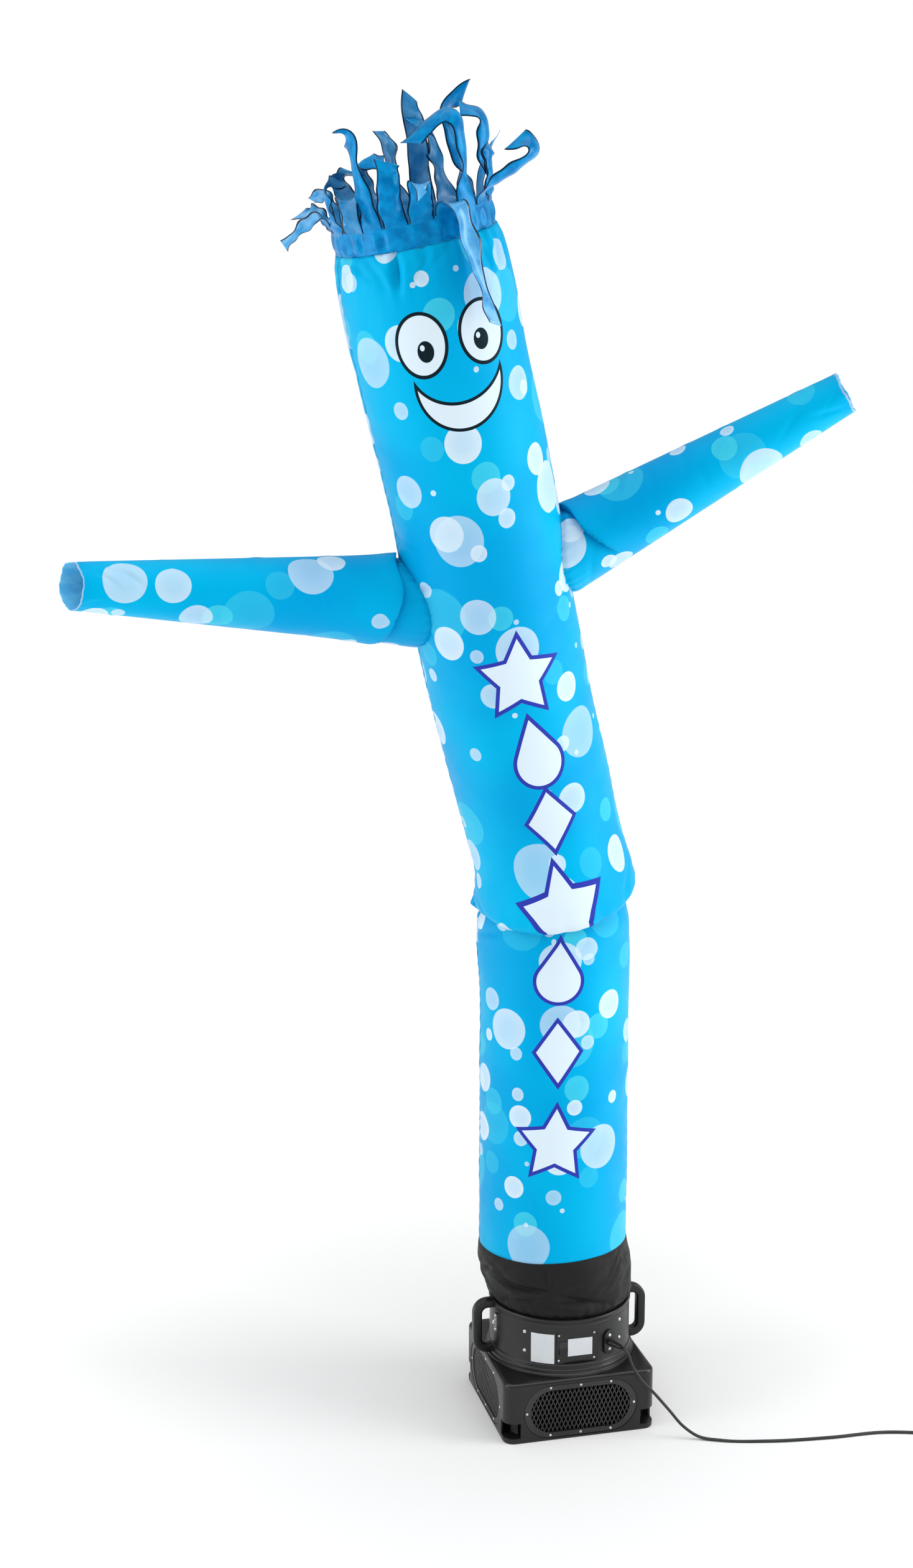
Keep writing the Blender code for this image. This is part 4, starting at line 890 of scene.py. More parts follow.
def spine_at(height):
    """Centre, radius and the right, back and along directions of the tube at a height."""
    height = np.asarray(height, float)
    knots = SPINE[:, 0]

    def centre(at):
        return np.stack([hermite(knots, SPINE[:, 1], at), hermite(knots, SPINE[:, 2], at), at], -1)

    along = centre(height + 0.0005) - centre(height - 0.0005)
    along /= np.linalg.norm(along, axis=-1, keepdims=True)
    right = np.array([1.0, 0.0, 0.0]) - along[..., :1] * along
    right /= np.linalg.norm(right, axis=-1, keepdims=True)
    return centre(height), hermite(knots, SPINE[:, 3], height), right, np.cross(along, right), along


def front_azimuth(height):
    """Azimuth of the print's middle, which turns evenly from the foot to the head."""
    share = (np.asarray(height, float) - SPINE[0, 0]) / (SPINE[-1, 0] - SPINE[0, 0])
    return FRONT_TURN_LOW + (FRONT_TURN_HIGH - FRONT_TURN_LOW) * share


# Listed creases: azimuth in degrees, height, slope in degrees, length, width, depth
TUBE_CREASES = (
    (-84.0, 1.160, 0.0, 0.050, 0.024, 0.016), (84.0, 1.180, 0.0, 0.040, 0.018, 0.009),
    (-86.0, 1.250, 0.0, 0.070, 0.050, -0.009), (-86.0, 1.060, 0.0, 0.060, 0.070, 0.006),
    (-92.0, 1.126, 8.0, 0.050, 0.008, -0.010), (-70.0, 1.178, -22.0, 0.050, 0.006, -0.009),
    (-56.0, 1.204, -32.0, 0.040, 0.006, -0.004), (-72.0, 1.200, -25.0, 0.040, 0.007, 0.004),
    (70.0, 1.198, 25.0, 0.045, 0.006, -0.006), (58.0, 1.220, 32.0, 0.030, 0.006, -0.004),
    (-60.0, 1.100, 15.0, 0.055, 0.008, -0.005), (20.0, 1.096, -8.0, 0.060, 0.009, -0.004),
    (-15.0, 2.446, 86.0, 0.028, 0.006, -0.018), (-8.0, 2.440, 80.0, 0.032, 0.008, 0.007),
    (-23.0, 2.446, -72.0, 0.030, 0.008, 0.006), (-30.0, 2.450, -52.0, 0.034, 0.006, -0.006),
    (-42.0, 2.456, -34.0, 0.040, 0.006, -0.005), (-66.0, 2.456, 78.0, 0.020, 0.005, -0.004),
    (2.0, 2.448, 48.0, 0.034, 0.006, -0.006), (14.0, 2.456, 32.0, 0.034, 0.006, -0.004),
    (36.0, 2.452, -66.0, 0.030, 0.006, -0.006), (48.0, 2.446, -76.0, 0.040, 0.006, -0.008),
    (56.0, 2.446, 84.0, 0.040, 0.007, 0.005), (64.0, 2.444, 76.0, 0.044, 0.006, -0.008),
    (76.0, 2.448, 80.0, 0.030, 0.006, -0.005), (-40.0, 1.880, 12.0, 0.060, 0.008, -0.003),
    (-62.0, 1.960, -18.0, 0.040, 0.006, -0.003), (70.0, 1.960, -40.0, 0.050, 0.007, -0.004),
    (60.0, 1.800, 28.0, 0.050, 0.007, -0.003),
)
SOFT_RIPPLES = ridges(5, 70, 0.45, 2.40, (0.03, 0.07), (0.010, 0.022), (-0.0016, 0.0016))


def tube_wall(height, azimuth, drop, push, narrow):
    """Points of the inflated wall: the spine's circle, dropped and pushed on the folded
    side, drawn in at the seams and the head, with small puckers, dents and soft swells."""
    centre, radius, right, back, along = spine_at(height)
    local = azimuth - front_azimuth(height)[:, None]
    facing = (np.cos(azimuth - FOLD_AZIMUTH) + FOLD_SPREAD) / (1 + FOLD_SPREAD)
    fold = np.clip(facing, 0.0, 1.0) ** 0.7
    out = radius[:, None] * (1 - narrow[:, None]) + fold * push[:, None]
    level = height[:, None]
    near_head = HEAD_GATHER[0] * np.exp(-np.clip(SPINE[-1, 0] - level, 0, 1) / HEAD_GATHER[1])
    out = out + near_head * (np.cos(23 * azimuth + 1.0) + 0.7 * np.cos(37 * azimuth))
    near_fold = FOLD_GATHER[0] * np.exp(-((level - FOLD_Z) / FOLD_GATHER[1]) ** 2) * fold
    out = out + near_fold * (np.cos(13 * azimuth + 2.0) + 0.6 * np.cos(29 * azimuth))
    from_middle = np.abs(np.mod(local + math.pi, 2 * math.pi) - math.pi)
    to_seam = np.abs(from_middle - SEAM_AZIMUTH) * PRINT_RADIUS
    ripple = np.sin(level * 2 * math.pi / PUCKER_PITCH + 2.5 * np.sin(level * 19.0))
    out = out - SEAM_DIP[0] * np.exp(-(to_seam / SEAM_DIP[1]) ** 2)
    out = out + SEAM_PUCKER[0] * ripple * np.exp(-to_seam / SEAM_PUCKER[1])
    out = out + 0.0010 * np.sin(3 * azimuth + level * 11.0) * np.sin(level * 17.0 + azimuth)
    out = out + crease_field(azimuth, level, TUBE_CREASES, PRINT_RADIUS)
    out = out + crease_field(azimuth, level, SOFT_RIPPLES, PRINT_RADIUS)
    rise = -fold * drop[:, None]
    foot = np.exp(-((level - SPINE[0, 0]) / 0.01) ** 2)
    rise = rise + FOOT_TILT * FOOT_RADIUS * np.sin(azimuth) * foot
    return (centre[:, None] + out[..., None] * (np.sin(azimuth)[..., None] * right[:, None]
                                                - np.cos(azimuth)[..., None] * back[:, None])
            + rise[..., None] * along[:, None])


def tube_rows(count):
    """Even rows along the folded side: height, drop, push and narrowing at each."""
    side = np.stack([TUBE_RINGS[:, 0] - TUBE_RINGS[:, 1], TUBE_RINGS[:, 2]], axis=-1)
    travel = np.r_[0.0, np.cumsum(np.linalg.norm(np.diff(side, axis=0), axis=1))]
    at = np.linspace(0.0, travel[-1], count)
    return [hermite(travel, TUBE_RINGS[:, column], at) for column in range(4)]


# The panels reach this far into an arm's mouth, and only their wall this near its root is cut
ARM_OVERLAP, ARM_NEAR = 0.016, 0.12
# Arms' sizes, which the panels need for their openings. Root on the tube's wall, cuff,
# and the radius at each, in the dancer's frame.
ARMS = {
    "left_arm": ((-0.315, -0.209, 1.797), (-0.942, -0.413, 1.847), 0.0900, 0.0450),
    "right_arm": ((-0.018, -0.168, 1.891), (0.526, -0.190, 2.198), 0.0845, 0.0410),
}


def arm_axes(root, cuff):
    """Root, length, and the along, side and across directions of an arm."""
    root = np.array(root)
    reach = np.array(cuff) - root
    length = np.linalg.norm(reach)
    along = reach / length
    side = np.cross(along, (0.0, 0.0, 1.0))
    side /= np.linalg.norm(side)
    return root, length, along, side, np.cross(along, side)


# Bubbles of the print. Each layer is a lattice of square cells with at most one disc in each,
# of random size, place and strength; layers overlap each other at several angles.
bubble_layer, entry, leave = group(
    "bubble_layer",
    [("Place", "Vector", None), ("Cell", "Float", 0.2), ("Smallest", "Float", 0.02),
     ("Largest", "Float", 0.05), ("Share", "Float", 0.5), ("Faint", "Float", 0.3),
     ("Strong", "Float", 0.8)],
    [("Cover", "Float")])
scaled = put(bubble_layer, "VectorMath", entry["Place"], operation="SCALE")
bubble_layer.links.new(sums(bubble_layer, "DIVIDE", 1.0, entry["Cell"]), scaled.inputs["Scale"])
cell = put(bubble_layer, "VectorMath", scaled.outputs[0], operation="FLOOR").outputs[0]
within = put(bubble_layer, "VectorMath", scaled.outputs[0], operation="FRACTION").outputs[0]
noise = put(bubble_layer, "TexWhiteNoise", cell, noise_dimensions="2D").outputs
chance = put(bubble_layer, "SeparateColor", noise["Color"]).outputs
moved = put(bubble_layer, "VectorMath", cell, (17.3, 5.1, 0.0), operation="ADD").outputs[0]
noise_two = put(bubble_layer, "TexWhiteNoise", moved, noise_dimensions="2D").outputs
span = sums(bubble_layer, "SUBTRACT", entry["Largest"], entry["Smallest"])
size = sums(bubble_layer, "MULTIPLY_ADD", sums(bubble_layer, "POWER", chance[0], 1.4), span,
            entry["Smallest"])
margin = sums(bubble_layer, "DIVIDE", size, entry["Cell"])
room = sums(bubble_layer, "MULTIPLY_ADD", margin, -2.0, 1.0)
middle = put(bubble_layer, "CombineXYZ",
             sums(bubble_layer, "MULTIPLY_ADD", chance[1], room, margin),
             sums(bubble_layer, "MULTIPLY_ADD", chance[2], room, margin), 0.0).outputs[0]
away = put(bubble_layer, "VectorMath", within, middle, operation="DISTANCE").outputs["Value"]
away = sums(bubble_layer, "MULTIPLY", away, entry["Cell"])
inside = sums(bubble_layer, "SUBTRACT", size, away)
disc = ramp(bubble_layer, inside, -0.0004, 0.0004)
edge = ramp(bubble_layer, sums(bubble_layer, "DIVIDE", inside, size), 0.0, 0.7, 1.0, 0.86)
strength = sums(bubble_layer, "MULTIPLY_ADD", noise_two["Value"],
                sums(bubble_layer, "SUBTRACT", entry["Strong"], entry["Faint"]), entry["Faint"])
there = sums(bubble_layer, "LESS_THAN", noise["Value"], entry["Share"])
cover = sums(bubble_layer, "MULTIPLY", sums(bubble_layer, "MULTIPLY", disc, edge),
             sums(bubble_layer, "MULTIPLY", strength, there))
bubble_layer.links.new(cover, leave["Cover"])

# cell, smallest and largest radius in metres, share of cells, faintest and strongest, turn
FAINT_BUBBLES = (
    (0.210, 0.044, 0.066, 0.50, 0.25, 0.60, 0.3),
    (0.150, 0.022, 0.040, 0.55, 0.30, 0.75, 0.9),
)
WHITE_BUBBLES = (
    (0.210, 0.042, 0.064, 0.52, 0.42, 0.78, 1.3),
    (0.140, 0.024, 0.042, 0.70, 0.55, 0.90, -0.5),
    (0.110, 0.013, 0.026, 0.46, 0.50, 0.88, 0.2),
    (0.090, 0.005, 0.009, 0.20, 0.60, 0.95, -0.9),
)
bubbles, entry, leave = group("bubbles", [("Place", "Vector", None)],
                              [("Faint", "Float"), ("White", "Float")])
for label, layers in (("Faint", FAINT_BUBBLES), ("White", WHITE_BUBBLES)):
    clear = 1.0
    for number, (cell_size, least, most, share_of, faint, strong, spin) in enumerate(layers):
        laid = put(bubbles, "Mapping", entry["Place"],
                   (0.37 * number + 0.1, 0.61 * number + spin, 0.0), (0.0, 0.0, spin)).outputs[0]
        made = use(bubbles, bubble_layer, Place=laid, Cell=cell_size, Smallest=least,
                   Largest=most, Share=share_of, Faint=faint, Strong=strong)
        open_share = sums(bubbles, "SUBTRACT", 1.0, made["Cover"])
        clear = sums(bubbles, "MULTIPLY", clear, open_share)
    bubbles.links.new(sums(bubbles, "SUBTRACT", 1.0, clear), leave[label])

INK_CYAN = srgb(0, 168, 215)
INK_DEEP = srgb(0, 151, 207)
INK_TEAL = srgb(70, 196, 216)
INK_PALE = srgb(206, 221, 231)
INK_VIOLET = srgb(46, 52, 160)
INK_BLACK = srgb(18, 22, 28)
CLOTH_BACK = srgb(70, 176, 228)
# The sewn edge darkens between these distances from it, its stitches run in a line beside it,
# and the thread pulls the cloth up in little waves; an arm's cuff is overlocked in a zigzag
SEAM_DARK, STITCH_LINE = (0.0045, 0.0015), 0.004
STITCH_PITCH, PULL_PITCH, ZIGZAG_PITCH = 0.0045, 0.013, 0.003
# Widths of the printed outlines
MOTIF_OUTLINE, EYE_OUTLINE, SMILE_OUTLINE = 0.0078, 0.0062, 0.0056


def star_edge(tree, place, size):
    """Signed distance to a plump five-pointed star: the angle is folded into one tenth of
    a turn, where the edge is one straight line from an outer to an inner point."""
    split = put(tree, "SeparateXYZ", place).outputs
    radius = put(tree, "VectorMath", place, operation="LENGTH").outputs["Value"]
    angle = sums(tree, "PINGPONG", sums(tree, "ARCTAN2", split[0], split[1]), math.pi / 5)
    inner = 0.52 * np.array([math.cos(math.pi / 5), math.sin(math.pi / 5)])
    line = inner - (1.0, 0.0)
    normal = np.array([-line[1], line[0]]) * (-1 if -line[1] < 0 else 1)
    normal /= np.linalg.norm(normal)
    turned_by = math.atan2(normal[1], normal[0])
    reach = sums(tree, "MULTIPLY", radius, sums(tree, "COSINE", sums(tree, "SUBTRACT", angle, turned_by)))
    return sums(tree, "SUBTRACT", reach, normal[0] * size)


def drop_edge(tree, place, size):
    """Signed distance to a water drop: a circle below, and above it the two straight lines
    that touch the circle and meet at the tip."""
    split = put(tree, "SeparateXYZ", place).outputs
    across = sums(tree, "ABSOLUTE", split[0])
    tip, low, radius = 1.02 * size, -0.30 * size, 0.66 * size
    lean = math.asin(radius / (tip - low))
    down = sums(tree, "SUBTRACT", split[1], tip)
    line = sums(tree, "MULTIPLY_ADD", across, math.cos(lean),
                sums(tree, "MULTIPLY", down, math.sin(lean)))
    run = sums(tree, "MULTIPLY_ADD", across, math.sin(lean),
               sums(tree, "MULTIPLY", down, -math.cos(lean)))
    touch = (tip - low) * math.cos(lean)
    below = put(tree, "VectorMath", place, (0.0, low, 0.0), operation="DISTANCE").outputs["Value"]
    circle = sums(tree, "SUBTRACT", below, radius)
    on_line = sums(tree, "LESS_THAN", run, touch)
    return sums(tree, "MULTIPLY_ADD", on_line, sums(tree, "SUBTRACT", line, circle), circle)


def diamond_edge(tree, place, size):
    """Signed distance to a tall diamond: one straight line on the folded quarter."""
    split = put(tree, "SeparateXYZ", place).outputs
    normal = np.array([1.0, 0.72]) / math.hypot(1.0, 0.72)
    line = sums(tree, "MULTIPLY_ADD", sums(tree, "ABSOLUTE", split[0]), normal[0],
                sums(tree, "MULTIPLY", sums(tree, "ABSOLUTE", split[1]), normal[1]))
    return sums(tree, "SUBTRACT", line, normal[0] * 0.74 * size)


def oval_edge(tree, place, half_wide, half_tall):
    """Near distance to an oval: k (k - 1) / g, where k is the length of the place over the
    half sizes, and g that of the place over their squares."""
    halves = (half_wide, half_tall, 1.0)
    once = put(tree, "VectorMath", place, halves, operation="DIVIDE").outputs[0]
    twice = put(tree, "VectorMath", once, halves, operation="DIVIDE").outputs[0]
    k = put(tree, "VectorMath", once, operation="LENGTH").outputs["Value"]
    g = put(tree, "VectorMath", twice, operation="LENGTH").outputs["Value"]
    g = sums(tree, "MAXIMUM", g, 0.001)
    return sums(tree, "DIVIDE", sums(tree, "MULTIPLY", k, sums(tree, "SUBTRACT", k, 1.0)), g)


def set_at(tree, place, x, y, spin=0.0):
    """The place as seen from a motif's own middle, turned upright for it."""
    away = put(tree, "VectorMath", place, (x, y, 0.0), operation="SUBTRACT").outputs[0]
    return put(tree, "VectorRotate", away, (0.0, 0.0, 0.0), (0.0, 0.0, 1.0), spin,
               rotation_type="Z_AXIS").outputs[0]


def filled(tree, distance, grown=0.0):
    """1 inside a distance's outline, grown by a width, with an edge 0.6 mm soft."""
    return ramp(tree, distance, grown + 0.0003, grown - 0.0003)


def printed(name, pattern_shift, front=False, seam=None, hem=False):
    """Printed satin nylon: bubbles on cyan and, on the front, the column of motifs and the
    plain face above it. The sewn edge is darker, where the cloth is doubled."""
    material, tree, shader = finish(name, INK_CYAN, 0.4, Specular_IOR_Level=0.14,
                                    Specular_Tint=(0.10, 0.70, 1.0, 1.0))
    place = put(tree, "UVMap", uv_map="flat").outputs[0]
    laid = put(tree, "Mapping", place, pattern_shift).outputs[0]
    uneven = put(tree, "TexNoise", place, None, 3.0, 2.0).outputs[0]
    colour = mix(tree, ramp(tree, uneven, 0.35, 0.65), INK_DEEP, INK_CYAN)
    discs = use(tree, bubbles, Place=laid)
    colour = mix(tree, discs["Faint"], colour, INK_TEAL)
    colour = mix(tree, discs["White"], colour, INK_PALE)
    if front:
        shapes = {"star": star_edge, "drop": drop_edge, "diamond": diamond_edge}
        nearest = None
        for kind, height, sideways, size, spin in MOTIFS:
            own = set_at(tree, place, sideways, height, spin)
            distance = shapes[kind](tree, own, size)
            nearest = distance if nearest is None else sums(tree, "MINIMUM", nearest, distance)
        colour = mix(tree, filled(tree, nearest, MOTIF_OUTLINE), colour, INK_VIOLET)
        colour = mix(tree, filled(tree, nearest), colour, INK_PALE)
        for x, y, wide, tall, pupil_x, pupil_y in EYES:
            eye = oval_edge(tree, set_at(tree, place, x, y), wide, tall)
            pupil = oval_edge(tree, set_at(tree, place, pupil_x, pupil_y), *PUPIL)
            glint = oval_edge(tree, set_at(tree, place, pupil_x - 0.005, pupil_y + 0.007), *GLINT)
            colour = mix(tree, filled(tree, eye, EYE_OUTLINE), colour, INK_BLACK)
            colour = mix(tree, filled(tree, eye), colour, INK_PALE)
            colour = mix(tree, filled(tree, pupil), colour, INK_BLACK)
            colour = mix(tree, filled(tree, glint), colour, INK_PALE)
        x, y = SMILE_PLACE
        bowl = oval_edge(tree, set_at(tree, place, x, y), *SMILE_BOWL)
        bite = oval_edge(tree, set_at(tree, place, x, y + SMILE_BITE_UP), *SMILE_BITE)
        smile = sums(tree, "MAXIMUM", bowl, sums(tree, "MULTIPLY", bite, -1.0))
        colour = mix(tree, filled(tree, smile, SMILE_OUTLINE), colour, INK_BLACK)
        colour = mix(tree, filled(tree, smile), colour, INK_PALE)
    split = put(tree, "SeparateXYZ", place).outputs
    woven = use(tree, weave, Place=place, Pitch=0.0008, Pucker=26.0)
    raised = sums(tree, "MULTIPLY_ADD", woven["Height"], 0.05, woven["Soft"])
    if seam:
        off = sums(tree, "SUBTRACT", seam, sums(tree, "ABSOLUTE", split[0]))
        doubled = ramp(tree, off, *SEAM_DARK)
        colour = mix(tree, sums(tree, "MULTIPLY", doubled, 0.35), colour, srgb(0, 96, 160))
        stitch = sine(tree, split[1], STITCH_PITCH)
        beside = sums(tree, "ABSOLUTE", sums(tree, "SUBTRACT", off, STITCH_LINE))
        line = ramp(tree, beside, 0.0009, 0.0004)
        raised = sums(tree, "ADD", raised, sums(tree, "MULTIPLY", line, stitch))
        pull = sine(tree, split[1], PULL_PITCH)
        raised = sums(tree, "MULTIPLY_ADD", pull, ramp(tree, off, 0.030, 0.0, 0.0, 0.5), raised)
    if hem:
        cut = ramp(tree, split[1], -0.0046, -0.0038)
        zigzag = sine(tree, split[0], ZIGZAG_PITCH)
        colour = mix(tree, sums(tree, "MULTIPLY", cut, sums(tree, "MULTIPLY_ADD", zigzag, 0.15, 0.75)),
                     colour, srgb(176, 192, 214))
        raised = sums(tree, "MULTIPLY_ADD", cut, zigzag, raised)
    tree.links.new(colour, shader.inputs["Base Color"])
    tree.links.new(ramp(tree, woven["Soft"], 0.3, 0.7, 0.40, 0.52), shader.inputs["Roughness"])
    relief(tree, shader, raised, 0.5, 0.0008)
    return material


# Motifs down the front, in place of lettering: kind, height, sideways, size, turn
MOTIFS = (
    ("star", 1.692, 0.004, 0.078, 0.10), ("drop", 1.534, 0.010, 0.070, -0.06),
    ("diamond", 1.388, 0.006, 0.062, 0.05), ("star", 1.220, -0.001, 0.075, -0.08),
    ("drop", 1.030, -0.014, 0.070, 0.04), ("diamond", 0.852, -0.013, 0.062, -0.03),
    ("star", 0.656, -0.013, 0.078, 0.02),
)
# Sideways, height, half width, half height, then the pupil's own place
EYES = ((-0.064, 2.318, 0.042, 0.050, -0.058, 2.306), (0.052, 2.318, 0.042, 0.050, 0.046, 2.306))
# Half width and half height
PUPIL, GLINT = (0.0150, 0.0180), (0.0042, 0.0050)
# The smile is one oval less another that stands higher
SMILE_PLACE = (-0.006, 2.246)
SMILE_BOWL, SMILE_BITE, SMILE_BITE_UP = (0.080, 0.078), (0.096, 0.084), 0.046

reverse_cloth, tree, shader = finish("reverse_cloth", CLOTH_BACK, 0.5, Sheen_Weight=0.2)
place = put(tree, "UVMap", uv_map="flat").outputs[0]
woven = use(tree, weave, Place=place, Pitch=0.0008, Pucker=40.0)
tree.links.new(mix(tree, ramp(tree, woven["Soft"], 0.3, 0.7), CLOTH_BACK, srgb(104, 196, 236)),
               shader.inputs["Base Color"])
relief(tree, shader, woven["Soft"], 0.5, 0.0005)

# Name, azimuth of the middle, columns, rows, and where the print's bubbles are taken from
PANELS = (("front_panel", 0.0, 92, 430, (0.0, 0.0, 0.0)),
          ("back_panel", math.pi, 72, 330, (1.7, 0.4, 0.0)))
for name, middle, columns, row_count, shift in PANELS:
    height, drop, push, narrow = tube_rows(row_count)
    local = np.linspace(-SEAM_AZIMUTH + SEAM_GAP, SEAM_AZIMUTH - SEAM_GAP, columns)
    azimuth = front_azimuth(height)[:, None] + middle + local[None, :]
    wall = tube_wall(height, azimuth, drop, push, narrow)
    flat = np.stack(np.broadcast_arrays(local[None, :] * PRINT_RADIUS, height[:, None]), axis=-1)
    quads_keep = np.ones((row_count - 1, columns - 1), bool)
    quad_centre = (wall[:-1, :-1] + wall[1:, 1:]) / 2
    for root, cuff, root_radius, cuff_radius in ARMS.values():
        start, length, along, side, across = arm_axes(root, cuff)
        off = quad_centre - start
        reach = off @ along
        square_off = np.linalg.norm(off - reach[..., None] * along, axis=-1)
        quads_keep &= ~((square_off < root_radius - ARM_OVERLAP) & (np.abs(reach) < ARM_NEAR))
    mesh = grid_mesh(name + "_cloth", wall @ turn.T, uv=flat)
    if not quads_keep.all():
        shape = bmesh.new()
        shape.from_mesh(mesh)
        shape.faces.ensure_lookup_table()
        gone = [shape.faces[k] for k in np.flatnonzero(~quads_keep.ravel()).tolist()]
        bmesh.ops.delete(shape, geom=gone, context="FACES")
        shape.to_mesh(mesh)
        shape.free()
    mesh.materials.append(printed(name + "_print", shift, front=name == "front_panel",
                                  seam=SEAM_AZIMUTH * PRINT_RADIUS))
    mesh.materials.append(reverse_cloth)
    panel = piece(name + "_cloth", mesh, None, "dancer")
    cloth(panel, CLOTH_THICK, lining=1)
    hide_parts(name)

# Arms. Two tapered tubes of the same print, each sewn to an opening in the panels with a
# gathered seam; air leaves by the open cuffs. Under its own weight each arm hangs over a
# deep crease by the shoulder, and both raw cuffs are only overlocked.
# Crease's distance from the shoulder seam, how far it runs out towards the arm's underside,
# its depth, and how far down the arm's front it reaches
SHOULDER_CREASES = {"left_arm": (0.062, 0.048, 0.0160, 1.30),
                    "right_arm": (0.074, 0.074, 0.0150, 0.66)}
# How far an arm's mouth reaches in behind the tube's wall
SEAM_TUCK = 0.006
# Depth and width of the dip along an arm's seam, and how far its gathers and its cuff's wear go
MOUTH_DIP, GATHER_REACH, WEAR_REACH = (0.004, 0.007), 0.018, 0.012
# How much shorter each arm is on its front, where the cuff opens towards the viewer
CUFF_SLANT = {"left_arm": 0.016, "right_arm": 0.006}
# Azimuth about the arm in degrees, distance from the cuff, slope, length, width, depth
CUFF_CREASES = (
    (205.0, -0.060, 55.0, 0.040, 0.006, -0.0035), (225.0, -0.085, 60.0, 0.045, 0.006, -0.0030),
    (200.0, -0.115, 50.0, 0.050, 0.007, -0.0030), (160.0, -0.030, -80.0, 0.030, 0.006, 0.0030),
    (20.0, -0.050, 70.0, 0.040, 0.007, -0.0030), (340.0, -0.100, -60.0, 0.050, 0.007, -0.0025),
)


def outside_tube(points):
    """How far points lie outside the tube's smooth wall; inside it is negative."""
    height = points[..., 2].copy()
    for _ in range(6):
        centre, _, _, _, along = spine_at(np.clip(height, 0.4, 2.47))
        height = height + ((points - centre) * along).sum(-1) * along[..., 2]
    centre, radius, _, _, along = spine_at(np.clip(height, 0.4, 2.47))
    return np.linalg.norm(points - centre, axis=-1) - radius


def arm_surface(name, root, cuff, root_radius, cuff_radius, columns=112, row_count=230):
    """Grid of an arm from inside the tube's wall to its cuff, and its flat coordinates. The
    rings start where each ray of the cone meets the wall, found by halving, and lie closer
    together at both ends. A crease is a dip on the shoulder's side of a slanted line and a
    swelling beyond it, and the swelling is drawn back over the dip."""
    start, length, along, side, across = arm_axes(root, cuff)
    turn_to_back = math.pi if along[0] > 0 else 0.0
    angle = np.linspace(0.0, 2 * math.pi, columns + 1) + turn_to_back
    ray = np.cos(angle)[:, None] * side + np.sin(angle)[:, None] * across
    low, high = np.full(columns + 1, -0.11), np.full(columns + 1, 0.22)
    for _ in range(30):
        tried = (low + high) / 2
        tapered = root_radius + (cuff_radius - root_radius) * np.clip(tried / length, 0, 1)
        outside = outside_tube(start + tried[:, None] * along + tapered[:, None] * ray) > 0
        low, high = np.where(outside, low, tried), np.where(outside, tried, high)
    seam_at = (low + high) / 2
    share = np.linspace(0.0, 1.0, row_count)[:, None]
    share = 0.4 * share + 0.6 * smooth(share)
    travel = (seam_at - SEAM_TUCK) + (length - seam_at + SEAM_TUCK) * share
    from_seam, to_cuff = travel - seam_at, length - travel
    cone = root_radius + (cuff_radius - root_radius) * np.clip(travel / length, 0, 1)
    offset, spread, depth, reach = SHOULDER_CREASES[name]
    up, toward = ray[:, 2], -ray[:, 1]
    strength = smooth((toward + 0.45 * reach) / 0.7) * smooth((up + reach) / 0.5)
    line = from_seam - (offset - spread * up) - 0.003 * np.sin(5 * angle)
    dip = -depth * np.exp(np.minimum(line, 0.0) / 0.018)
    swell = 0.45 * depth * np.exp(-np.maximum(line, 0.0) / 0.035)
    beyond = smooth(line / 0.005 + 0.5)
    radius = cone + strength * (dip * (1 - beyond) + swell * beyond)
    travel = travel - 0.55 * depth * strength * np.exp(-((line - 0.003) / 0.006) ** 2)
    gather = np.exp(-np.clip(from_seam, 0, 1) / GATHER_REACH)
    radius = radius + gather * (0.0016 * np.cos(26 * angle) + 0.0010 * np.cos(41 * angle + 1.0))
    radius = radius - MOUTH_DIP[0] * np.exp(-(from_seam / MOUTH_DIP[1]) ** 2)
    ripples = ridges(int(1000 * length), 30, 0.02, length, (0.02, 0.06), (0.005, 0.011),
                     (-0.0018, 0.0016))
    radius = radius + crease_field(angle, from_seam, ripples, 0.07)
    radius = radius + crease_field(angle, -to_cuff, CUFF_CREASES, 0.05)
    ragged = np.exp(-to_cuff / WEAR_REACH)
    radius = radius + ragged * (0.0011 * np.sin(7 * angle + 2.0) + 0.0004 * np.sin(23 * angle))
    travel = travel + ragged * (0.0012 * np.sin(5 * angle) + 0.0005 * np.sin(17 * angle + length))
    travel = travel - CUFF_SLANT[name] * toward * np.exp(-to_cuff / 0.035)
    points = start + travel[..., None] * along + radius[..., None] * ray
    about = (angle - turn_to_back - math.pi) * cone
    return points, np.stack([about, -to_cuff], axis=-1), length


for number, (name, (root, cuff, root_radius, cuff_radius)) in enumerate(ARMS.items()):
    points, flat, length = arm_surface(name, root, cuff, root_radius, cuff_radius)
    mesh = grid_mesh(name + "_cloth", points @ turn.T, uv=flat)
    mesh.materials.append(printed(name + "_print", (3.1 + 1.9 * number, 0.9, 0.0), hem=True))
    mesh.materials.append(reverse_cloth)
    arm = piece(name + "_cloth", mesh, None, "dancer")
    weld = arm.modifiers.new("seam", "WELD")
    weld.merge_threshold = 0.00002
    cloth(arm, CLOTH_THICK, lining=1)
    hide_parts(name)

# Crown. A plain blue band sewn round the head, cut down into strips that the leaving air
# throws about. The cut edges are overlocked in dark thread and the reverse is a lighter blue.
BAND_RADIUS = 0.1504
BAND_TOP = 0.0403
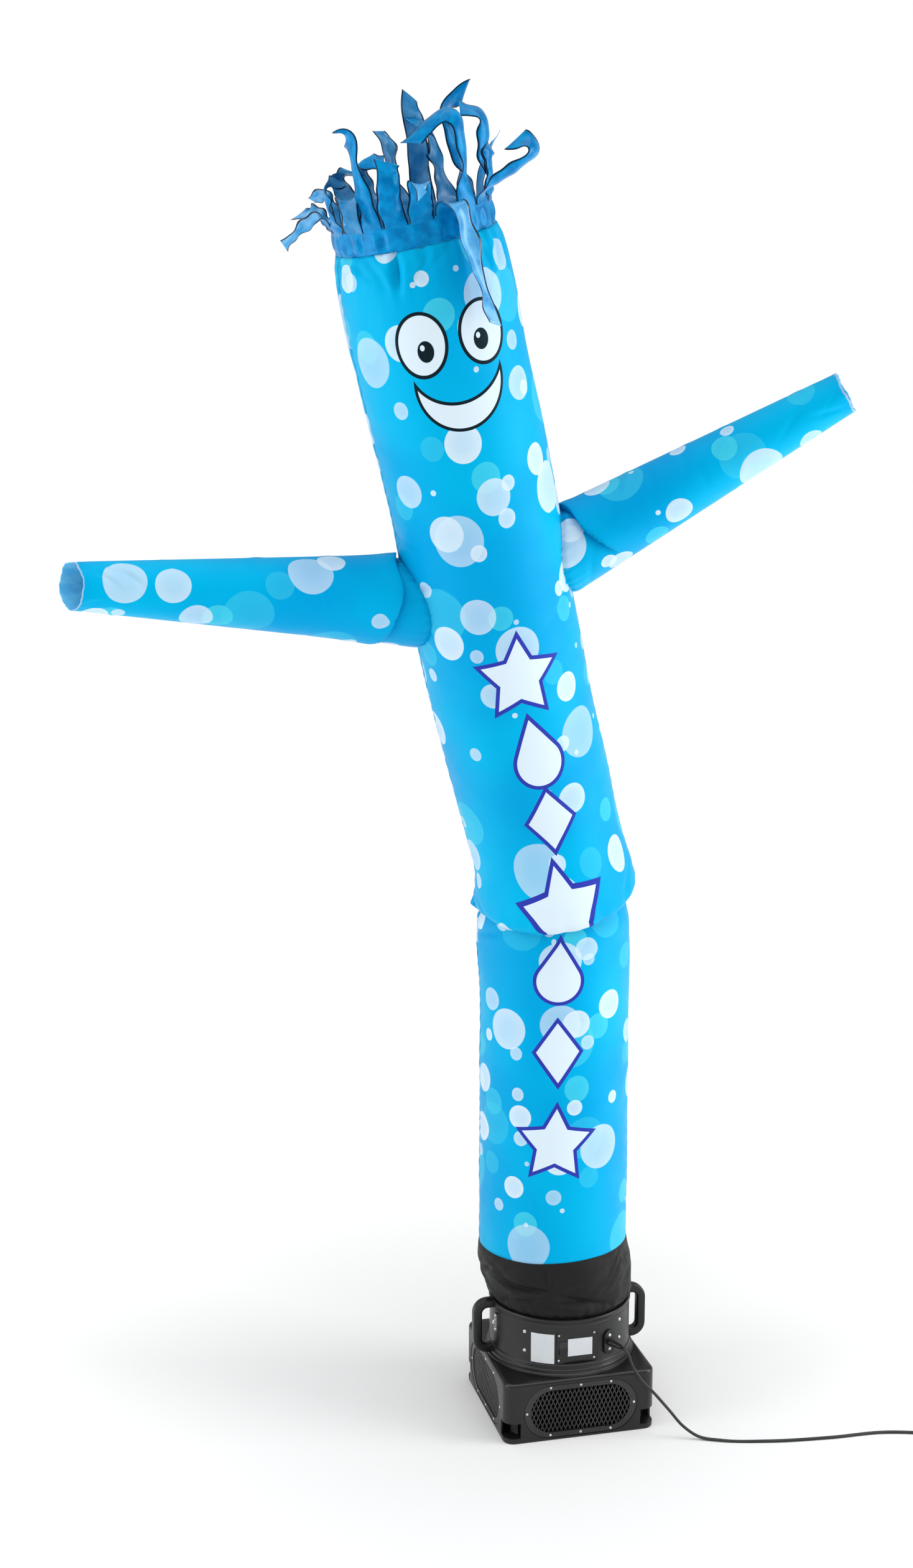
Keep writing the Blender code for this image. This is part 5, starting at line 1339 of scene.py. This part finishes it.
# Azimuth, length in mm, heading, lean, curl, fold, where it folds, tip width in mm, twist;
# angles are in degrees, and the azimuth runs from the viewer's side to the viewer's right
STRIPS = (
    (-171, 150, -90, -2, 4, 30, 0.85, 20, 60),
    (-153, 150, 55, -20, 14, 100, 0.62, 26, -40),
    (-135, 120, -120, 14, 16, -110, 0.70, 24, 40),
    (-117, 100, -90, 8, 4, 96, 0.66, 22, 40),
    (-99, 80, -105, 30, 30, 30, 0.50, 22, 50),
    (-81, 124, -84, 20, 20, 84, 0.30, 20, 50),
    (-63, 112, -66, 0, 6, -96, 0.78, 22, 50),
    (-45, 150, 10, 6, 6, 150, 0.50, 26, 34),
    (-27, 195, -62, 0, 2, 92, 0.90, 28, 0),
    (-9, 118, 20, 4, 2, 20, 0.80, 30, 10),
    (9, 118, 16, 4, 6, 132, 0.66, 26, 40),
    (27, 266, 54, 14, 2, 157, 0.12, 22, 6),
    (45, 262, -84, -14, 22, 116, 0.66, 30, 55),
    (63, 178, 84, 62, 8, -140, 0.80, 30, 50),
    (81, 100, 81, 4, 4, 10, 0.60, 22, 20),
    (99, 115, 90, 2, 8, 40, 0.70, 22, 20),
    (117, 190, 90, 16, 0, -80, 0.76, 30, 45),
    (135, 222, 90, -8, 0, 80, 0.76, 28, 50),
    (153, 176, -50, 4, 6, 60, 0.80, 34, 40),
    (171, 205, 30, 4, 2, 30, 0.90, 24, 40),
)
STRIP_STEPS = 44
STRIP_COLUMNS = 9
CROWN_THICK = 0.0007
# A strip's root is this share of its place on the band, and its tip is this much wider than
# the table says; it takes up this share of the table's twist
ROOT_SHARE, TIP_WIDENING, TWIST_SHARE = 0.97, 1.38, 0.8
# How far a strip cups, as a share of its half width
STRIP_CUP = 0.42
LOOP_PITCH, THREAD_WIDTH = 0.0025, 0.0027
head_centre, _, head_right, head_back, head_along = (v[0] for v in spine_at(SPINE[-1:, 0]))


def strip_surface(strip, root, phase):
    """Rows of one strip above its root: its line bends from the head's direction towards its
    heading, by a lean, an even curl and one fold, and its width, cup, twist and a small
    flutter of its edges change along it. Its end is cut on the slant."""
    azimuth, length, heading, lean, curl, fold, fold_at, tip_width, twist = strip
    azimuth, heading = math.radians(azimuth), math.radians(heading)
    share = np.linspace(0.0, 1.0, STRIP_STEPS + 1)
    middle = (share[1:] + share[:-1]) / 2

    def bend(at):
        turned_by = (lean * smooth(at / 0.25) + curl * at
                     + fold * smooth((at - fold_at) / 0.22 + 0.5))
        return np.radians(turned_by)[:, None]

    towards = math.sin(heading) * head_right - math.cos(heading) * head_back
    step = np.cos(bend(middle)) * head_along + np.sin(bend(middle)) * towards
    centre = root[len(root) // 2]
    path = centre + np.r_[np.zeros((1, 3)), np.cumsum(step, axis=0)] * length * 0.001 / STRIP_STEPS
    direction = np.cos(bend(share)) * head_along + np.sin(bend(share)) * towards
    around = math.cos(azimuth) * head_right + math.sin(azimuth) * head_back
    normal = np.cross(towards, head_along)
    normal *= 1.0 if normal @ around > 0 else -1.0
    settled = smooth(share / 0.4)[:, None]
    across = around * (1 - settled) + normal * settled
    across -= (across * direction).sum(1, keepdims=True) * direction
    across /= np.linalg.norm(across, axis=1, keepdims=True)
    face = np.cross(across, direction)
    spin = TWIST_SHARE * np.radians(twist) * share[:, None]
    across, face = (across * np.cos(spin) + face * np.sin(spin),
                    face * np.cos(spin) - across * np.sin(spin))
    root_width = np.linalg.norm(root[-1] - root[0]) * ROOT_SHARE
    tip_width = tip_width * 0.001 * TIP_WIDENING
    half = (root_width + (tip_width - root_width) * share**1.6) / 2
    half = half * (1 + 0.06 * np.sin(share * 17.0 + phase) * smooth(share / 0.2))
    place = np.linspace(-1.0, 1.0, STRIP_COLUMNS)[None, :]
    flutter = (0.0044 * np.sin(share * 11.0 + phase) + 0.0016 * np.sin(share * 27.0 + 2 * phase))
    lift = (STRIP_CUP * half[:, None] * np.sin(math.pi * share)[:, None] * (1 - place**2)
            + smooth(share / 0.15)[:, None] * (flutter[:, None] * place
                                               + 0.0016 * np.sin(share * 23 + phase)[:, None] * place**2))
    drift = 0.0035 * (np.sin(share * 6.0 + phase) - math.sin(phase)) * smooth(share / 0.3)
    slant = 0.9 * math.sin(phase + 0.8) * half * smooth((share - 0.7) / 0.3)
    rows = (path[:, None] + (place * half[:, None] + drift[:, None])[..., None] * across[:, None]
            + lift[..., None] * face[:, None]
            + (place * slant[:, None])[..., None] * direction[:, None])
    edge = (1 - np.abs(place)) * half[:, None]
    flat = np.stack(np.broadcast_arrays(place * half[:, None], share[:, None] * length * 0.001), -1)
    return rows[1:], edge[1:], flat[1:]


columns = (STRIP_COLUMNS - 1) * len(STRIPS)
first = math.radians(STRIPS[0][0]) - math.pi / len(STRIPS)
azimuth = first + np.arange(columns) * 2 * math.pi / columns
rise = np.linspace(0.0003, BAND_TOP, 12)[:, None]
gathers = 0.0026 * np.sin(23 * azimuth) + 0.0016 * np.sin(41 * azimuth + 1.0)
# The band's foot stays round where it is sewn; the gathers grow and die away above it
swell = gathers * np.sin(math.pi * np.clip(rise / BAND_TOP, 0, 1)) ** 0.7
circle = BAND_RADIUS + swell - 0.0016 * np.exp(-((rise - 0.006) / 0.003) ** 2)
band = (head_centre + circle[..., None] * (np.sin(azimuth)[None, :, None] * head_right
                                           - np.cos(azimuth)[None, :, None] * head_back)
        + rise[..., None] * head_along)
points = [band.reshape(-1, 3)]
index = np.arange(band.shape[0] * columns).reshape(-1, columns)
after = np.roll(index, -1, axis=1)
quads = [np.stack([index[:-1], after[:-1], after[1:], index[1:]], -1).reshape(-1, 4)]
edges = [np.full(index.size, 0.05)]
flats = [np.stack(np.broadcast_arrays(azimuth * BAND_RADIUS, rise), -1).reshape(-1, 2)]
made_so_far = index.size
for number, strip in enumerate(STRIPS):
    lower = index[-1, (np.arange(STRIP_COLUMNS) + number * (STRIP_COLUMNS - 1)) % columns]
    rows, edge, flat = strip_surface(strip, band.reshape(-1, 3)[lower], 1.7 * number)
    grid = made_so_far + np.arange(rows.shape[0] * STRIP_COLUMNS).reshape(-1, STRIP_COLUMNS)
    stacked = np.concatenate([lower[None], grid])
    quads.append(np.stack([stacked[:-1, :-1], stacked[:-1, 1:], stacked[1:, 1:],
                           stacked[1:, :-1]], -1).reshape(-1, 4))
    points.append(rows.reshape(-1, 3))
    edges.append(edge.ravel())
    flats.append(flat.reshape(-1, 2) + (0.0, BAND_TOP))
    made_so_far += rows.shape[0] * STRIP_COLUMNS
mesh = bpy.data.meshes.new("crown_cloth")
mesh.from_pydata((np.concatenate(points) @ turn.T).tolist(), [], np.concatenate(quads).tolist())
thread_room = mesh.attributes.new("to_edge", "FLOAT", "POINT")
thread_room.data.foreach_set("value", np.concatenate(edges).astype(np.float32))
layer = mesh.uv_layers.new(name="flat")
corners = np.empty(len(mesh.loops), np.int32)
mesh.loops.foreach_get("vertex_index", corners)
layer.data.foreach_set("uv", np.concatenate(flats)[corners].astype(np.float32).ravel())
mesh.shade_smooth()


def crown_finish(name, colour, deep, rough, gloss, tint):
    """Plain dyed satin whose cut edges are overlocked: a dark thread, looped every 2.5 mm."""
    material, tree, shader = finish(name, colour, rough, Specular_IOR_Level=gloss,
                                    Specular_Tint=tint)
    place = put(tree, "UVMap", uv_map="flat").outputs[0]
    woven = use(tree, weave, Place=place, Pitch=0.0008, Pucker=45.0)
    plain = mix(tree, ramp(tree, woven["Soft"], 0.3, 0.7), deep, colour)
    to_edge = put(tree, "Attribute", attribute_name="to_edge").outputs["Fac"]
    split = put(tree, "SeparateXYZ", place).outputs
    loops = sine(tree, split[1], LOOP_PITCH)
    width = sums(tree, "MULTIPLY_ADD", loops, 0.0004, THREAD_WIDTH)
    thread = ramp(tree, sums(tree, "SUBTRACT", to_edge, width), 0.0003, -0.0003)
    tree.links.new(mix(tree, thread, plain, srgb(8, 24, 46)), shader.inputs["Base Color"])
    tree.links.new(ramp(tree, woven["Soft"], 0.3, 0.7, rough - 0.06, rough + 0.06),
                   shader.inputs["Roughness"])
    raised = sums(tree, "ADD", woven["Soft"], sums(tree, "MULTIPLY", thread, 0.6))
    relief(tree, shader, raised, 0.5, 0.0005)
    return material


mesh.materials.append(crown_finish("crown_face", srgb(0, 136, 196), srgb(0, 106, 168), rough=0.26,
                                   gloss=0.45, tint=(0.10, 0.55, 1.0, 1.0)))
mesh.materials.append(crown_finish("crown_reverse", srgb(84, 168, 218), srgb(40, 138, 198),
                                   rough=0.30, gloss=0.85, tint=(0.75, 0.88, 1.0, 1.0)))
crown = piece("crown_cloth", mesh, None, "dancer")
cloth(crown, CROWN_THICK, lining=1)
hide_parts("hair_crown")
